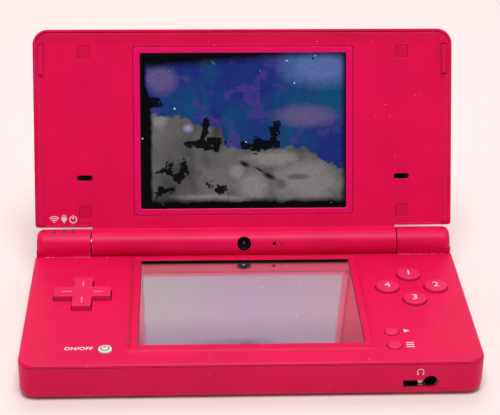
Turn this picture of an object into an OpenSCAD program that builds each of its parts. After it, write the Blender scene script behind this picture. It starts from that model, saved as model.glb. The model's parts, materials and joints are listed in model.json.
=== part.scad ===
// Clamshell handheld game console, opened for play.
// Origin: centre of the closed footprint, on the underside. X right, Y to the hinge, Z up.

/* [Case] */
// Width of the case
case_w = 137; // [136:0.5:142]
// Depth of the closed case, front edge to hinge
case_d = 74.9; // [74.5:0.5:80]
// Height of the base up to its deck
base_h = 12; // [11.8:0.1:13]
// Plan radius of the base's and the lid's front corners
front_r = 5; // [4:0.5:7]
// Plan radius of the base's rear corners, beside the hinge
rear_r = 3; // [3:0.5:4]
// Radius along the base's bottom edge
bottom_edge_r = 2.9; // [1:0.1:2.9]
// Radius along the deck's edge
deck_edge_r = 0.8; // [0.3:0.1:0.8]
// Thickness of the base's side walls
wall_t = 1.4; // [1.2:0.1:1.6]
// Thickness of the base's floor
floor_t = 1.2; // [0.9:0.1:1.3]
// Thickness of the deck
deck_t = 1.2; // [1:0.1:1.3]
// Distance from the deck down to the seam between the two base cases
seam_drop = 0.98; // [0.9:0.02:1.1]
// Width of the seam between the two base cases
seam_w = 0.16; // [0.1:0.02:0.2]

/* [Hinge] */
// Radius of the hinge barrel
hinge_r = 4.8; // [4.7:0.1:5]
// Height of the hinge axis over the deck
hinge_lift = 2.1; // [2:0.1:2.4]
// Angle between the lid and the base
lid_open = 112.6; // [0:0.1:150]
// Half the length of the lid's barrel
barrel_half = 50.05; // [49:0.1:50.5]
// Gap between the barrel and each hinge cover
barrel_gap = 0.3; // [0.2:0.05:0.5]
// Wall of the barrel
barrel_t = 1; // [0.8:0.1:1.1]
// Gap between the barrel and its trough
trough_gap = 0.4; // [0.3:0.05:0.45]
// How far each hinge cover stays inside the side wall
cover_inset = 0.5; // [0.3:0.1:0.8]
// Rounding of each hinge cover's outer end
cover_round = 2; // [1:0.1:2.4]
// Radius of the hinge shaft
shaft_r = 1.5; // [1.2:0.1:1.6]
// Material left outside the shaft and the bush in each hinge cover
hinge_end_wall = 3.95; // [3:0.05:5]
// Outer radius of the hollow bush that the lid's cable passes through
bush_r = 2.5; // [2.3:0.1:2.7]
// Radius of the bush's hole
bush_hole_r = 1.7; // [1.5:0.1:1.8]
// Length of the clutch and of the bearing in the barrel's ends
clutch_l = 8; // [6:0.5:10]

/* [Lid] */
// Gap between the hinge covers and the lid's lower edge
lid_clearance = 0.6; // [0.5:0.05:1]
// Radius along the lid's outer edge
lid_edge_r = 2.8; // [1.5:0.1:3]
// Radius of the lid's corners beside the hinge
lid_low_r = 1.2; // [0.8:0.1:2]
// Skin of the outer cover
skin_t = 1.2; // [0.9:0.1:1.2]
// Width of the outer cover's rim
rim_t = 0.8; // [0.7:0.05:1]
// Seam between the rim and the inner cover
rim_seam = 0.35; // [0.2:0.05:0.45]
// Gap between the rim and the deck when the lid is closed
rim_gap = 0.4; // [0.3:0.05:0.5]
// Depth of the inner face below the rim
face_recess = 1.6; // [1.5:0.05:1.7]
// Width of the inner cover's flat lip
lip_w = 0.5; // [0.3:0.1:0.8]
// Width of the slope from the lip down to the face, at the sides
side_slope = 2; // [1.5:0.1:2.2]
// Width of the slope at the lid's tip
tip_slope = 2.8; // [2:0.1:3]
// Thickness of the inner cover
inner_t = 1.3; // [1.1:0.05:1.35]
// Distance from the side to the lid's screws and speakers
lid_side = 16.25; // [15:0.05:17]

/* [Screens] */
// Width of the deck beside the raised frame, where the controls are
control_room = 30.7; // [30:0.1:32]
// Distance from the front edge to the lower screen's window
window_front = 10.21; // [10:0.01:10.6]
// Distance from the lower screen's window to the rear edge
window_rear = 13.69; // [13.4:0.01:14.5]
// Distance from the upper screen's window to the lid's edge
window_tip = 7.7; // [7.5:0.1:8]
// Width of the upper lens's border at each side of the window
lens_side = 2.25; // [1.8:0.05:2.6]
// Width of the upper lens's border above and below the window
lens_border = 2.1; // [1.6:0.05:2.2]
// Thickness of the upper lens
lens_t = 0.8; // [0.6:0.05:0.85]
// Thickness of the upper display
upper_lcd_t = 2.1; // [1.8:0.1:2.2]
// How far each display runs past its window
lcd_lap = 2; // [1.5:0.1:2]
// Width of the raised frame's border at each side of the lower screen
frame_side = 2.4; // [2:0.1:3]
// Width of the raised frame's border at the front of the lower screen
frame_front_w = 2.36; // [2:0.02:3]
// Width of the raised frame's border at the rear of the lower screen
frame_rear_w = 1.54; // [1.3:0.02:1.8]
// Rise of the frame over the deck
frame_rise = 0.5; // [0.4:0.05:0.6]
// Width of the bevel round the raised frame
frame_bevel = 1.6; // [1.2:0.1:1.8]
// Width of the black gasket round the touch panel
gasket_w = 0.45; // [0.35:0.05:0.6]
// Depth of the touch panel below the frame
panel_recess = 0.75; // [0.65:0.05:0.8]
// Thickness of the lower display
lower_lcd_t = 2.2; // [1.8:0.1:2.2]

/* [Controls] */
// Distance from the left side to the middle of the direction pad
pad_from_left = 16.9; // [16:0.1:17.5]
// Distance from the front to the middle of the direction pad
pad_from_front = 40.25; // [39:0.25:42]
// Length of each arm of the direction pad from its middle
pad_arm = 8.75; // [8:0.05:9]
// Width of the direction pad's arms
pad_arm_w = 5.8; // [5.2:0.1:6.2]
// Height of the direction pad over the deck
pad_proud = 1.5; // [1.2:0.1:1.6]
// Distance from the right side to the middle of the four buttons
cluster_from_right = 16.35; // [16:0.05:17]
// Distance from the front to the middle of the four buttons
cluster_from_front = 43.15; // [42:0.05:45]
// Distance of each of the four buttons from their middle
cluster_pitch = 7.7; // [7.3:0.05:8]
// Diameter of the four buttons
button_d = 7.3; // [6.8:0.1:7.6]
// Height of the four buttons over the deck
button_proud = 1; // [0.8:0.1:1.1]
// Diameter of the start, select and power buttons
small_d = 4.3; // [4:0.1:4.6]
// Height of the small buttons over the deck
small_proud = 0.45; // [0.3:0.05:0.6]
// Distance from the right side to the start and select buttons
start_from_right = 26; // [25.5:0.1:26.2]
// Distance from the front to the select button
select_from_front = 9.1; // [8.5:0.05:9.5]
// Distance between the start and select buttons
start_pitch = 7.7; // [7:0.1:8]
// Distance from the left side to the power button
power_from_left = 25.2; // [24.8:0.1:25.4]
// Distance from the front to the power button
power_from_front = 8.85; // [8.5:0.05:9.5]
// Travel of every pushed button
press = 0.5; // [0.3:0.05:0.5]
// Gap round each button
button_gap = 0.2; // [0.15:0.01:0.25]
// Length of each shoulder button along the rear
shoulder_l = 22; // [20:0.5:23]
// Length of each shoulder button along the side
shoulder_side = 10; // [9:0.25:11]
// Bottom of the shoulder buttons
shoulder_z = 3.5; // [3.3:0.1:4]
// Height of the shoulder buttons
shoulder_h = 4.6; // [4:0.1:4.6]
// Length of each volume button
volume_l = 5.2; // [4.5:0.1:5.4]

/* [Sockets and slots] */
// Distance from the right side to the headphone jack
jack_from_right = 16.1; // [15.5:0.1:16.5]
// Height of the headphone jack's middle
jack_z = 4.8; // [4.6:0.1:5]
// Radius of the headphone jack's bore
jack_r = 1.8; // [1.75:0.01:1.85]
// Length of the headphone jack's bore
jack_l = 12; // [10:0.5:12.5]
// Width of a game card's slot
card_w = 34.2; // [33.6:0.1:34.6]
// Height of a game card's slot
card_h = 4.5; // [4.3:0.05:4.6]
// Depth of a game card's slot
card_d = 34; // [32:0.5:35]
// Width of a memory card's slot
memory_w = 24.6; // [24.2:0.1:25]
// Height of a memory card's slot
memory_h = 2.4; // [2.2:0.05:2.5]
// Diameter of the stylus
stylus_d = 4.5; // [4:0.1:4.6]
// Distance from the battery bay to the stylus's tip
stylus_gap = 5.4; // [5:0.1:10]
// Distance from the front to the stylus
stylus_from_front = 20.4; // [20:0.1:21]

/* [Inside] */
// Height of the main board's underside
board_z = 7; // [7:0.05:7.1]
// Thickness of the main board
board_t = 1; // [0.8:0.05:1]
// Width of the battery
battery_w = 38; // [34:0.5:38]
// Length of the battery
battery_l = 43; // [38:0.5:44]
// Thickness of the battery
battery_t = 5; // [4:0.1:5]
// Clearance between parts that are fixed together
fit = 0.1; // [0.05:0.01:0.15]
// Radial clearance of a shaft or pin in its hole
pin_fit = 0.05; // [0.03:0.01:0.08]

/* [Hidden] */
$fn = 48;
arc_steps = 5;

shell_colour = [0.86, 0.08, 0.31];
deck_colour = [0.94, 0.10, 0.34];
button_colour = [0.92, 0.23, 0.42];
dark = [0.1, 0.1, 0.11];
steel = [0.7, 0.7, 0.72];
board_green = [0.1, 0.35, 0.2];
rubber_grey = [0.75, 0.75, 0.76];
glass_black = [0.05, 0.05, 0.06];
flex_orange = [0.6, 0.35, 0.1];
cell_grey = [0.35, 0.36, 0.4];
light_red = [0.55, 0.35, 0.35];
cap_grey = [0.8, 0.77, 0.73];
panel_mauve = [0.72, 0.62, 0.68];

// How far joined shapes run into each other, and how far a cut runs past its surface
join = 0.1;
past = 1;

right = case_w / 2;
front = -case_d / 2;
rear = case_d / 2;
hinge_y = rear - hinge_r;
hinge_z = base_h + hinge_lift;
deck_under = base_h - deck_t;
seam_z = base_h - seam_drop;
frame_top = base_h + frame_rise;
trough_r = hinge_r + trough_gap;
cover_in = barrel_half + barrel_gap;
cover_out = right - cover_inset;
shaft_in = barrel_half - clutch_l;
shaft_end = cover_out - hinge_end_wall;
shaft_hole_fit = 0.02;
flex_reach = 5;
flex_gap = 0.35;

// Screens: the windows take what the controls and the borders leave
frame_w = case_w - 2 * (control_room + frame_bevel);
window_w = frame_w - 2 * frame_side;
window_h = case_d - window_front - window_rear;
frame_front = window_front - frame_front_w;
frame_d = window_h + frame_front_w + frame_rear_w;
frame_corner_r = 1;
frame_foot_r = 2;
panel_z = frame_top - panel_recess;
gasket_proud = 0.1;
groove_w = 0.28;
groove_h = 0.3;
lens_w = window_w + 2 * lens_side;
lens_h = window_h + 2 * lens_border;
lens_gap = 0.15;
window_r = 0.4;

shoulder_room = 1;

// Heights in the lid, counted along its thickness from the hinge axis
rim_z = rim_gap - hinge_lift;
face_z = rim_z + face_recess;
inner_back = face_z + inner_t;
skin_z = hinge_r - skin_t;
lid_low = hinge_r + lid_clearance;
lid_tip = hinge_y - front;
lens_u = lid_tip - window_tip - window_h / 2;
inner_half = right - rim_t - rim_seam;
inner_tip = lid_tip - rim_t - rim_seam;
inner_low = lid_low + rim_t + rim_seam;
inner_corner_r = front_r - rim_t - rim_seam;
slope_corner_r = 2.2;
rim_edge_r = 0.25;
lip_flare = 0.3;
lip_z = rim_z + 0.1;
bumper_seat = face_z - 0.3;
lid_seam = 0.05;
barrel_web = 1.2;

// Places on the base
screen_y = front + window_front + window_h / 2;
pad_x = pad_from_left - right;
pad_y = front + pad_from_front;
cluster_x = right - cluster_from_right;
cluster_y = front + cluster_from_front;
start_x = right - start_from_right;
select_y = front + select_from_front;
start_y = select_y + start_pitch;
power_x = power_from_left - right;
power_y = front + power_from_front;
board_top = board_z + board_t;

// The trough behind the deck that the barrel turns in, and the strip under it
trough_t = 1;
trough_end = 0.2;
strip_z = hinge_z - hinge_r - 1.4;
strip_top = hinge_z - hinge_r - 0.5;
strip_end = 0.7;

// Buttons: a flange under the deck keeps each cap in
flange_gap = 0.3;
flange_t = 0.6;
flange_top = deck_under - flange_gap;
flange_edge = 0.6;
rubber_t = 0.3;
stem_foot = board_top + rubber_t + press + 0.1;
stem_share = 0.36;
cap_edge_r = 0.45;
cap_dome = 0.12;
dome_low_r = 2.4;
dome_top_r = 1.8;
dome_h = 0.1;
pad_margin = 3.3;
small_pad_half = 2.6;
small_pad_r = 3;

// Direction pad: it tips both ways on a rubber pivot
pad_gap = 0.3;
pad_tilt_room = 0.7;
pad_flange_top = deck_under - pad_tilt_room;
pad_flange_r = pad_arm + 1.25;
pad_corner_r = 0.5;
pad_line_w = 0.44;
pad_line = [3.4, 6.6];
pad_line_h = 0.2;
pad_dish_r = 20.5;
pad_dish = 0.3;
pad_stem_r = 0.9;
pivot_z = board_top + 0.05;
pivot_top = pad_flange_top - flange_t - 0.55;
pivot_t = 0.45;
pivot_foot_r = 1;

// Screws, given as [x, y] on the base and as [x, distance from the hinge axis] on the lid
boss_r = 2.2;
boss_split = 5.2;
boss_skirt = 0.3;
screw_r = 0.8;
screw_head_r = 1.6;
screw_head_h = 0.8;
screw_l = 5.6;
screw_hole = 4.5;
head_room = 0.2;
head_floor = 1.5;
cross_w = 0.4;
front_screw_in = 6;
front_screw_right = 6.4;
front_screw_left = 3.9;
rear_screw_in = 25;
rear_screw_d = 12.2;
case_screw_places = [
    [right - front_screw_in, front + front_screw_right],
    [front_screw_in - right, front + front_screw_left],
    [right - rear_screw_in, rear - rear_screw_d],
    [rear_screw_in - right, rear - rear_screw_d]
];
lid_screw_x = right - lid_side;
lid_screw_far = lens_u + window_h / 2 + 0.5;
lid_screw_near = lens_u - window_h / 2 - 0.95;
lid_screw_places = [for (u = [lid_screw_far, lid_screw_near]) for (s = [1, -1])
    [s * lid_screw_x, u]];
lid_screw_r = screw_r - 0.1;
lid_screw_head_r = screw_head_r - 0.1;
lid_screw_head_h = 0.45;
lid_screw_l = 2.2;
cover_side = 3.85;
cover_pocket = 0.7;
cover_corner_r = 0.35;
lid_boss_r = 2.3;
lid_boss_h = 0.5;

// Battery bay, on the left
cell_gap = 0.3;
bay_left = -right + 5.2;
bay_right = bay_left + battery_w + 2 * cell_gap;
bay_front = front + 9;
bay_rear = bay_front + battery_l + 2 * cell_gap;
bay_wall = 0.8;
bay_lap = 1;
lap_t = 0.6;
tab_w = 7;
tab_l = 4.4;
tab_y = (bay_front + bay_rear) / 2;
bay_screw = [bay_right + bay_wall + 1.9, tab_y];
bay_screw_l = 4;
bay_screw_head_h = 0.5;
bay_screw_z = 0.55;
bay_boss_h = 4.5;
cover_gap = 0.15;

// Sockets
jack_x = right - jack_from_right;
jack_mouth_r = jack_r + 0.38;
accessory_w = 6.5;
accessory_h = 2.6;
accessory_x = jack_x - jack_mouth_r - accessory_w + 0.6;
accessory_z = jack_z - 1.9;
accessory_d = 6;
jack_half = 4.1;
jack_wall = 1;
metal_t = 0.35;
card_z = floor_t + 0.8;
card_gap = 6.8;
card_x = bay_right + bay_wall + card_gap + card_w / 2;
power_w = 7.6;
power_h = 4.4;
power_d = 7;
power_t = 0.4;
power_z = floor_t + 0.7;
power_socket_x = 29;
stylus_l = right - bay_right - bay_wall - stylus_gap;
stylus_y = front + stylus_from_front;
stylus_z = floor_t + stylus_d / 2 + 0.6;
holder_gap = 0.2;
holder_t = 0.4;
holder_short = 1;
tip_r = 0.5;
tip_l = 3;
tip_top_r = 0.9;
shoulder_len = 7;
taper_l = 9;
cap_r = 0.4;

// Main board and what hangs under it
board_gap = 0.6;
board_r = 3;
board_rear_gap = 1;
lcd_z = board_top + 0.35;
lcd_face = lcd_z + lower_lcd_t;
shield_front = 3.5;
shield_d = 12.7;
shield_h = 2.7;
shield_left_gap = 6;
shield_right_gap = 8.32;
wireless_l = 19;
wireless_d = 5;
wireless_h = 1.8;
wireless_card_gap = 2.9;
wireless_bay_gap = 1.05;

// Memory card slot and its door, on the right side
memory_z = 4.3;
memory_d = 26;
door_l = memory_w + 4.4;
door_t = 1.3;
door_z = 3.7;
door_axis_in = 0.7;
door_x = right - door_axis_in;
door_top = 8;
door_gap = 0.3;
door_roll_r = 0.6;
door_pin_r = 0.45;
door_pin_l = 1.2;
door_pin_gap = 0.6;
door_wall = 1.6;
door_post = 2.2;
memory_y = rear - shoulder_side - shoulder_room - door_wall - door_pin_l - door_pin_gap
    - door_l / 2;

door_post_d = 2.6;
door_front = memory_y - door_l / 2 - door_gap;

// Volume buttons, on the left side
volume_pitch = volume_l + 1.6;
volume_y = rear - shoulder_side - shoulder_room - 8.7 - volume_pitch;
volume_z = 6;
volume_h = 2.2;
volume_proud = 0.4;
volume_press = 0.4;
volume_flange = 0.5;
volume_flange_t = 0.45;
volume_in = 0.35;
volume_board_gap = 0.55;
volume_board_t = 0.6;
volume_board_lap = 4;
volume_board_drop = 2.6;

// Shoulder buttons swing on upright pins
shoulder_in = right - shoulder_l;
shoulder_eye = [shoulder_in + 1.8, rear - 2.9];
shoulder_pin_r = 0.8;
shoulder_t = 1.5;
shoulder_eye_r = 1.8;
shoulder_gap = 0.25;
shoulder_end_gap = 0.3;
shoulder_depth = 5.4;
shoulder_top = shoulder_z + shoulder_h;
spring_h = 1.6;
eye_h = shoulder_h - spring_h;
spring_t = 0.5;
switch_x = right - 8.5;
switch_gap = 0.8;
switch_half = 2;
switch_d = 2.8;
switch_h = 3.5;
ledge_z = shoulder_top + shoulder_gap;
ledge_top = hinge_z - hinge_r;
ledge_seam = 0.45;
ledge_in = 0.3;
ledge_front = 2.5;
ledge_lap = 0.4;

// Speakers, cameras, microphone and lights
speaker_u = lens_u - window_h / 2 + 10.25;
speaker_half_w = 8;
speaker_half_h = 5.5;
speaker_corner_r = 2;
speaker_cone_r = 4;
speaker_cone_d = 0.4;
slot_l = 5.1;
slot_w = 1.8;
bumper_u = lens_u + window_h / 2 - 2.05;
bumper_l = 9.5;
bumper_w = 1.5;
bumper_gap = 0.15;
bumper_x = inner_half - 0.6;
camera_x = -0.15;
camera_window_r = 2.15;
camera_half = 2.8;
camera_half_d = 2.4;
camera_l = 3.9;
camera_back = -hinge_r + 1.9;
mic_body_h = 1.2;
mic_x = 9.75;
mic_r = 0.55;
mic_body_r = 1.5;
outer_camera_x = right - 7.5;
outer_camera_u = lid_low + 6.6;
outer_camera_r = 2.2;
outer_camera_half = 3;
light_pitch = 3;
light_x = [for (i = [-1 : 1]) i * light_pitch - (cover_in + cover_out) / 2];
light_w = 0.85;
light_l = 2.5;
light_h = 1.5;
light_gap = 0.05;

// Points of a quarter circle, counted from an angle
function quarter(cx, cy, r, from) = r < 0.01 ? [[cx, cy]] :
    [for (i = [0 : arc_steps]) let (a = from + 90 * i / arc_steps)
        [cx + r * cos(a), cy + r * sin(a)]];

// Points of a rectangle with its own front and rear corner radii
function rounded(x0, y0, x1, y1, rf, rr) = concat(
    quarter(x1 - rr, y1 - rr, rr, 0), quarter(x0 + rr, y1 - rr, rr, 90),
    quarter(x0 + rf, y0 + rf, rf, 180), quarter(x1 - rf, y0 + rf, rf, 270));

// A flat plate with rounded plan corners
module plate(x0, y0, x1, y1, z0, z1, rf = 0, rr = 0)
    translate([0, 0, z0]) linear_extrude(z1 - z0) polygon(rounded(x0, y0, x1, y1, rf, rr));

// A box between two corners
module block(a, b) translate(a) cube(b - a);

// A round bar along X, at a height and a place across
module bar_x(x0, x1, y, z, r, fn = 48)
    translate([x0, y, z]) rotate([0, 90, 0]) cylinder(r = r, h = x1 - x0, $fn = fn);

// One corner of a soft slab: a disc with rounded lower and upper edges
module corner_disc(r, z0, z1, low, top)
    rotate_extrude($fn = 32) polygon(concat([[0, z0]], quarter(r - low, z0 + low, low, 270),
        quarter(r - top, z1 - top, top, 0), [[0, z1]]));

// A slab with rounded plan corners and rounded edges
module soft_slab(x0, y0, x1, y1, z0, z1, rf, rr, low, top)
    hull() {
        for (x = [x0 + rf, x1 - rf]) translate([x, y0 + rf, 0]) corner_disc(rf, z0, z1, low, top);
        for (x = [x0 + rr, x1 - rr]) translate([x, y1 - rr, 0]) corner_disc(rr, z0, z1, low, top);
    }

// Puts a lid piece, drawn closed with Y towards the hinge, where the lid stands
module on_lid() translate([0, hinge_y, hinge_z]) rotate([-lid_open, 0, 0]) children();

// A block given on the right side, and its mirror image on the left
module side_block(s, x0, x1, y0, y1, z0, z1)
    block([s > 0 ? x0 : -x1, y0, z0], [s > 0 ? x1 : -x0, y1, z1]);

// Everything over the hinge covers' shelf at one rear corner
module cover_room(s, z)
    side_block(s, cover_in - barrel_gap / 2, right + 1, hinge_y - hinge_r - fit, rear + 1,
        z, base_h + 1);

// Holes for the buttons and the direction pad
module deck_holes(z0, z1) {
    for (i = [0 : 3]) translate([cluster_x, cluster_y, 0]) rotate(90 * i)
        translate([cluster_pitch, 0, z0]) cylinder(d = button_d + 2 * button_gap, h = z1 - z0);
    for (p = [[start_x, start_y], [start_x, select_y], [power_x, power_y]])
        translate([p[0], p[1], z0]) cylinder(d = small_d + 2 * button_gap, h = z1 - z0);
    for (t = [0, 90]) translate([pad_x, pad_y, 0]) rotate(t)
        block([-pad_arm - pad_gap, -pad_arm_w / 2 - pad_gap, z0],
            [pad_arm + pad_gap, pad_arm_w / 2 + pad_gap, z1]);
}

// The raised frame's outline, grown all round
module frame_plate(grow, z0, z1, r)
    plate(-frame_w / 2 - grow, front + frame_front - grow, frame_w / 2 + grow,
        front + frame_front + frame_d + grow, z0, z1, r, r);

module base_upper_case() color(deck_colour) {
    inset = wall_t + fit;
    difference() {
        union() {
            soft_slab(-right, front, right, rear, seam_z + seam_w, base_h,
                front_r, rear_r, 0, deck_edge_r);
            plate(-right + inset, front + inset, right - inset, rear - inset,
                deck_under, seam_z + seam_w + join, front_r - inset, rear_r - inset);
            hull() {
                frame_plate(0, frame_top - join / 5, frame_top, frame_corner_r);
                frame_plate(frame_bevel, base_h - join, base_h, frame_foot_r);
            }
            intersection() {
                bar_x(-cover_in + trough_end, cover_in - trough_end, hinge_y, hinge_z,
                    trough_r + trough_t);
                block([-right, hinge_y - trough_r - trough_t, strip_z], [right, hinge_y, base_h]);
            }
            block([-shoulder_in + strip_end, hinge_y - join, strip_z],
                [shoulder_in - strip_end, rear - inset, strip_top]);
            for (p = case_screw_places) translate([p[0], p[1], boss_split])
                cylinder(r = boss_r, h = deck_under - boss_split + join);
        }
        bar_x(-cover_in, cover_in, hinge_y, hinge_z, trough_r, 96);
        block([-right - past, hinge_y, strip_top], [right + past, rear + past, base_h + past]);
        for (s = [-1, 1]) cover_room(s, strip_z - past);
        deck_holes(deck_under - past, base_h + past);
        plate(-window_w / 2, screen_y - window_h / 2, window_w / 2, screen_y + window_h / 2,
            deck_under - past, frame_top + past, window_r, window_r);
        difference() {
            frame_plate(0, frame_top - groove_h, frame_top + past, frame_corner_r);
            frame_plate(-groove_w, frame_top - past, frame_top + 2 * past,
                frame_corner_r - groove_w);
        }
        for (p = case_screw_places) translate([p[0], p[1], boss_split - join])
            cylinder(r = screw_r + pin_fit, h = screw_hole + join);
    }
}

// The battery cover's outline: a thin lap round the bay and a thicker tab for its screw
module battery_plate(c, z0, lap_top, tab_top) {
    block([bay_left - bay_lap - c, bay_front - bay_lap - c, z0],
        [bay_right + bay_lap + c, bay_rear + bay_lap + c, lap_top]);
    block([bay_right - bay_wall, tab_y - tab_w / 2 - c, z0],
        [bay_screw[0] + tab_l / 2 + c, tab_y + tab_w / 2 + c, tab_top]);
}

module base_lower_case() color(shell_colour) {
    inset = wall_t;
    difference() {
        union() {
            difference() {
                soft_slab(-right, front, right, rear, 0, seam_z, front_r, rear_r,
                    bottom_edge_r, 0);
                plate(-right + inset, front + inset, right - inset, rear - inset,
                    floor_t, seam_z + past, front_r - inset, rear_r - inset);
            }
            difference() {
                block([bay_left - bay_wall, bay_front - bay_wall, floor_t - join],
                    [bay_right + bay_wall, bay_rear + bay_wall, board_z - cell_gap]);
                block([bay_left, bay_front, 0], [bay_right, bay_rear, board_z]);
            }
            for (p = case_screw_places) translate([p[0], p[1], floor_t - join])
                cylinder(r = boss_r + boss_skirt, h = boss_split - floor_t);
            translate([bay_screw[0], bay_screw[1], floor_t - join])
                cylinder(r = boss_r, h = bay_boss_h + join);
            for (s = [-1, 1]) {
                translate([s * shoulder_eye[0], shoulder_eye[1], floor_t - join])
                    cylinder(r = shoulder_eye_r, h = shoulder_z - shoulder_gap - floor_t + join);
                intersection() {
                    union() {
                        side_block(s, cover_in, right - ledge_in, hinge_y - hinge_r - ledge_front,
                            rear - ledge_in, ledge_z, ledge_top - ledge_seam);
                        side_block(s, shoulder_in - ledge_lap, cover_in + past, hinge_y + join,
                            rear - ledge_in, ledge_z, ledge_top - ledge_seam);
                    }
                    plate(-right + ledge_in, front, right - ledge_in, rear - ledge_in, ledge_z,
                        ledge_top - ledge_seam, 0, cover_round);
                }
            }
            block([right - wall_t - door_post_d, door_front - door_post, floor_t - join],
                [right - wall_t + join, door_front, memory_z + past]);
        }
        bar_x(-cover_in, cover_in, hinge_y, hinge_z, trough_r, 96);
        block([-right - past, hinge_y, ledge_top - ledge_seam],
            [right + past, rear + past, seam_z + past]);
        for (s = [-1, 1]) {
            cover_room(s, ledge_top - ledge_seam);
            shoulder_room_cut(s);
            translate([s * shoulder_eye[0], shoulder_eye[1], floor_t])
                cylinder(r = shoulder_pin_r + pin_fit, h = ledge_top);
        }
        battery_plate(cover_gap, -past, lap_t + fit, floor_t + join / 10);
        block([bay_left, bay_front, -past], [bay_right, bay_rear, floor_t + past]);
        translate([bay_screw[0], bay_screw[1], -past])
            cylinder(r = screw_r + pin_fit, h = bay_screw_z + bay_screw_l + past + 0.45);
        for (p = case_screw_places) translate([p[0], p[1], -past]) {
            cylinder(r = screw_head_r + head_room, h = boss_split - head_floor + past);
            cylinder(r = screw_r + head_room, h = boss_split + 2 * past);
        }
        // Openings in the front, rear and sides
        translate([jack_x, front - past, jack_z]) rotate([-90, 0, 0])
            cylinder(r = jack_mouth_r, h = wall_t + 2 * past);
        block([accessory_x, front - past, accessory_z],
            [jack_x, front + wall_t + past, accessory_z + accessory_h]);
        block([card_x - card_w / 2, rear - wall_t - past, card_z],
            [card_x + card_w / 2, rear + past, card_z + card_h]);
        block([power_socket_x - power_w / 2, rear - wall_t - past, power_z],
            [power_socket_x + power_w / 2, rear + past, power_z + power_h]);
        bar_x(right - wall_t - past, right + past, stylus_y, stylus_z, stylus_d / 2 + holder_gap);
        block([right - wall_t - 2 * join, door_front, door_z - past],
            [right + past, memory_y + door_l / 2 + door_gap, door_top + door_gap / 2]);
        translate([door_x, memory_y - door_l / 2 - door_pin_l - door_pin_gap, door_z])
            rotate([-90, 0, 0])
            cylinder(r = door_pin_r + pin_fit, h = door_l + 2 * (door_pin_l + door_pin_gap));
        for (i = [0, 1]) translate([-right, volume_y + i * volume_pitch, volume_z])
            block([-past, -volume_l / 2 - button_gap, -volume_h / 2 - button_gap],
                [wall_t + past, volume_l / 2 + button_gap, volume_h / 2 + button_gap]);
    }
}

// The opening that one shoulder button swings in
module shoulder_room_cut(s) {
    z0 = shoulder_z - shoulder_gap;
    side_block(s, shoulder_in - shoulder_end_gap, right + past, rear - shoulder_depth,
        rear + past, z0, ledge_z);
    side_block(s, right - shoulder_depth, right + past, rear - shoulder_side - shoulder_room,
        rear, z0, ledge_z);
}

// A hinge cover: half barrel, half foot, its outer end rounded
module hinge_cover(s) {
    l = cover_out - cover_in;
    foot_z = ledge_top - 0.4;
    difference() {
        intersection() {
            union() {
                translate([s * cover_in, hinge_y, hinge_z]) rotate([0, s * 90, 0])
                    rotate_extrude($fn = 96) polygon(concat([[0, 0], [hinge_r, 0]],
                        quarter(hinge_r - cover_round, l - cover_round, cover_round, 0),
                        [[0, l]]));
                intersection() {
                    side_block(s, cover_in, cover_out, hinge_y - hinge_r, rear, foot_z, hinge_z);
                    plate(-cover_out, hinge_y - hinge_r, cover_out, rear, foot_z,
                        hinge_z, 0, cover_round);
                }
            }
            block([-right, hinge_y - hinge_r - past, foot_z],
                [right, rear + past, hinge_z + hinge_r + past]);
        }
        children();
    }
}

module hinge_cover_right() color(shell_colour) hinge_cover(1)
    bar_x(cover_in - past, shaft_end + past, hinge_y, hinge_z, shaft_r + shaft_hole_fit);

module hinge_cover_left() color(shell_colour) hinge_cover(-1) {
    bar_x(-shaft_end - 0.2, -cover_in + past, hinge_y, hinge_z, bush_r + shaft_hole_fit);
    for (x = light_x) translate([x, hinge_y, hinge_z + hinge_r - light_h])
        light_block(light_gap);
}

module light_block(grow) block([-light_w / 2 - grow, -light_l / 2 - grow, 0],
    [light_w / 2 + grow, light_l / 2 + grow, 2 * light_h]);

module indicator_lights() color(light_red) for (x = light_x)
    translate([x, hinge_y, hinge_z + hinge_r - light_h]) intersection() {
        light_block(0);
        bar_x(-light_w, light_w, 0, light_h - hinge_r, hinge_r - light_gap, 96);
    }

module battery_cover() color(shell_colour) difference() {
    union() {
        battery_plate(0, 0, lap_t, floor_t - fit);
        block([bay_left + fit, bay_front + fit, lap_t - join],
            [bay_right - fit, bay_rear - fit, floor_t]);
    }
    translate([bay_screw[0], bay_screw[1], -past]) {
        cylinder(r = screw_r + head_room, h = floor_t + 2 * past);
        cylinder(r = screw_head_r + head_room, h = bay_screw_z + past);
    }
}

// A screw: its head's underside at z = 0, its shank upwards, with a cross slot
module screw(head_r, head_h, r, l) difference() {
    union() {
        translate([0, 0, -head_h]) cylinder(r = head_r, h = head_h);
        cylinder(r = r, h = l);
    }
    for (t = [0, 90]) rotate(t)
        block([-head_r * 0.6, -cross_w / 2, -head_h - past],
            [head_r * 0.6, cross_w / 2, -head_h * 0.4]);
}

module battery_cover_screw() color(steel) translate([bay_screw[0], bay_screw[1], bay_screw_z])
    screw(screw_head_r, bay_screw_head_h, screw_r, bay_screw_l);

module case_screws() color(steel) for (p = case_screw_places)
    translate([p[0], p[1], boss_split - head_floor])
        screw(screw_head_r, screw_head_h, screw_r, screw_l);

module battery() color(cell_grey)
    translate([bay_left + cell_gap, bay_front + cell_gap, floor_t + cell_gap])
        cube([battery_w, battery_l, battery_t]);

module main_board() color(board_green) difference() {
    inset = wall_t + board_gap;
    plate(-right + inset, front + inset, right - inset, hinge_y - hinge_r - board_rear_gap,
        board_z, board_top, board_r, 0.5);
    for (p = case_screw_places) translate([p[0], p[1], board_z - past])
        cylinder(r = boss_r + boss_skirt, h = board_t + 2 * past);
    block([-right, volume_y - volume_l, board_z - past],
        [-right + wall_t + volume_board_drop, volume_y + volume_pitch + volume_l,
        board_top + past]);
}

// The can's ends keep clear of the battery cover's screw and of the jack
module shield_can() color(steel)
    block([bay_screw[0] + shield_left_gap, front + shield_front, board_z - fit - shield_h],
        [accessory_x - jack_wall - shield_right_gap, front + shield_front + shield_d,
        board_z - fit]);

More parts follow.
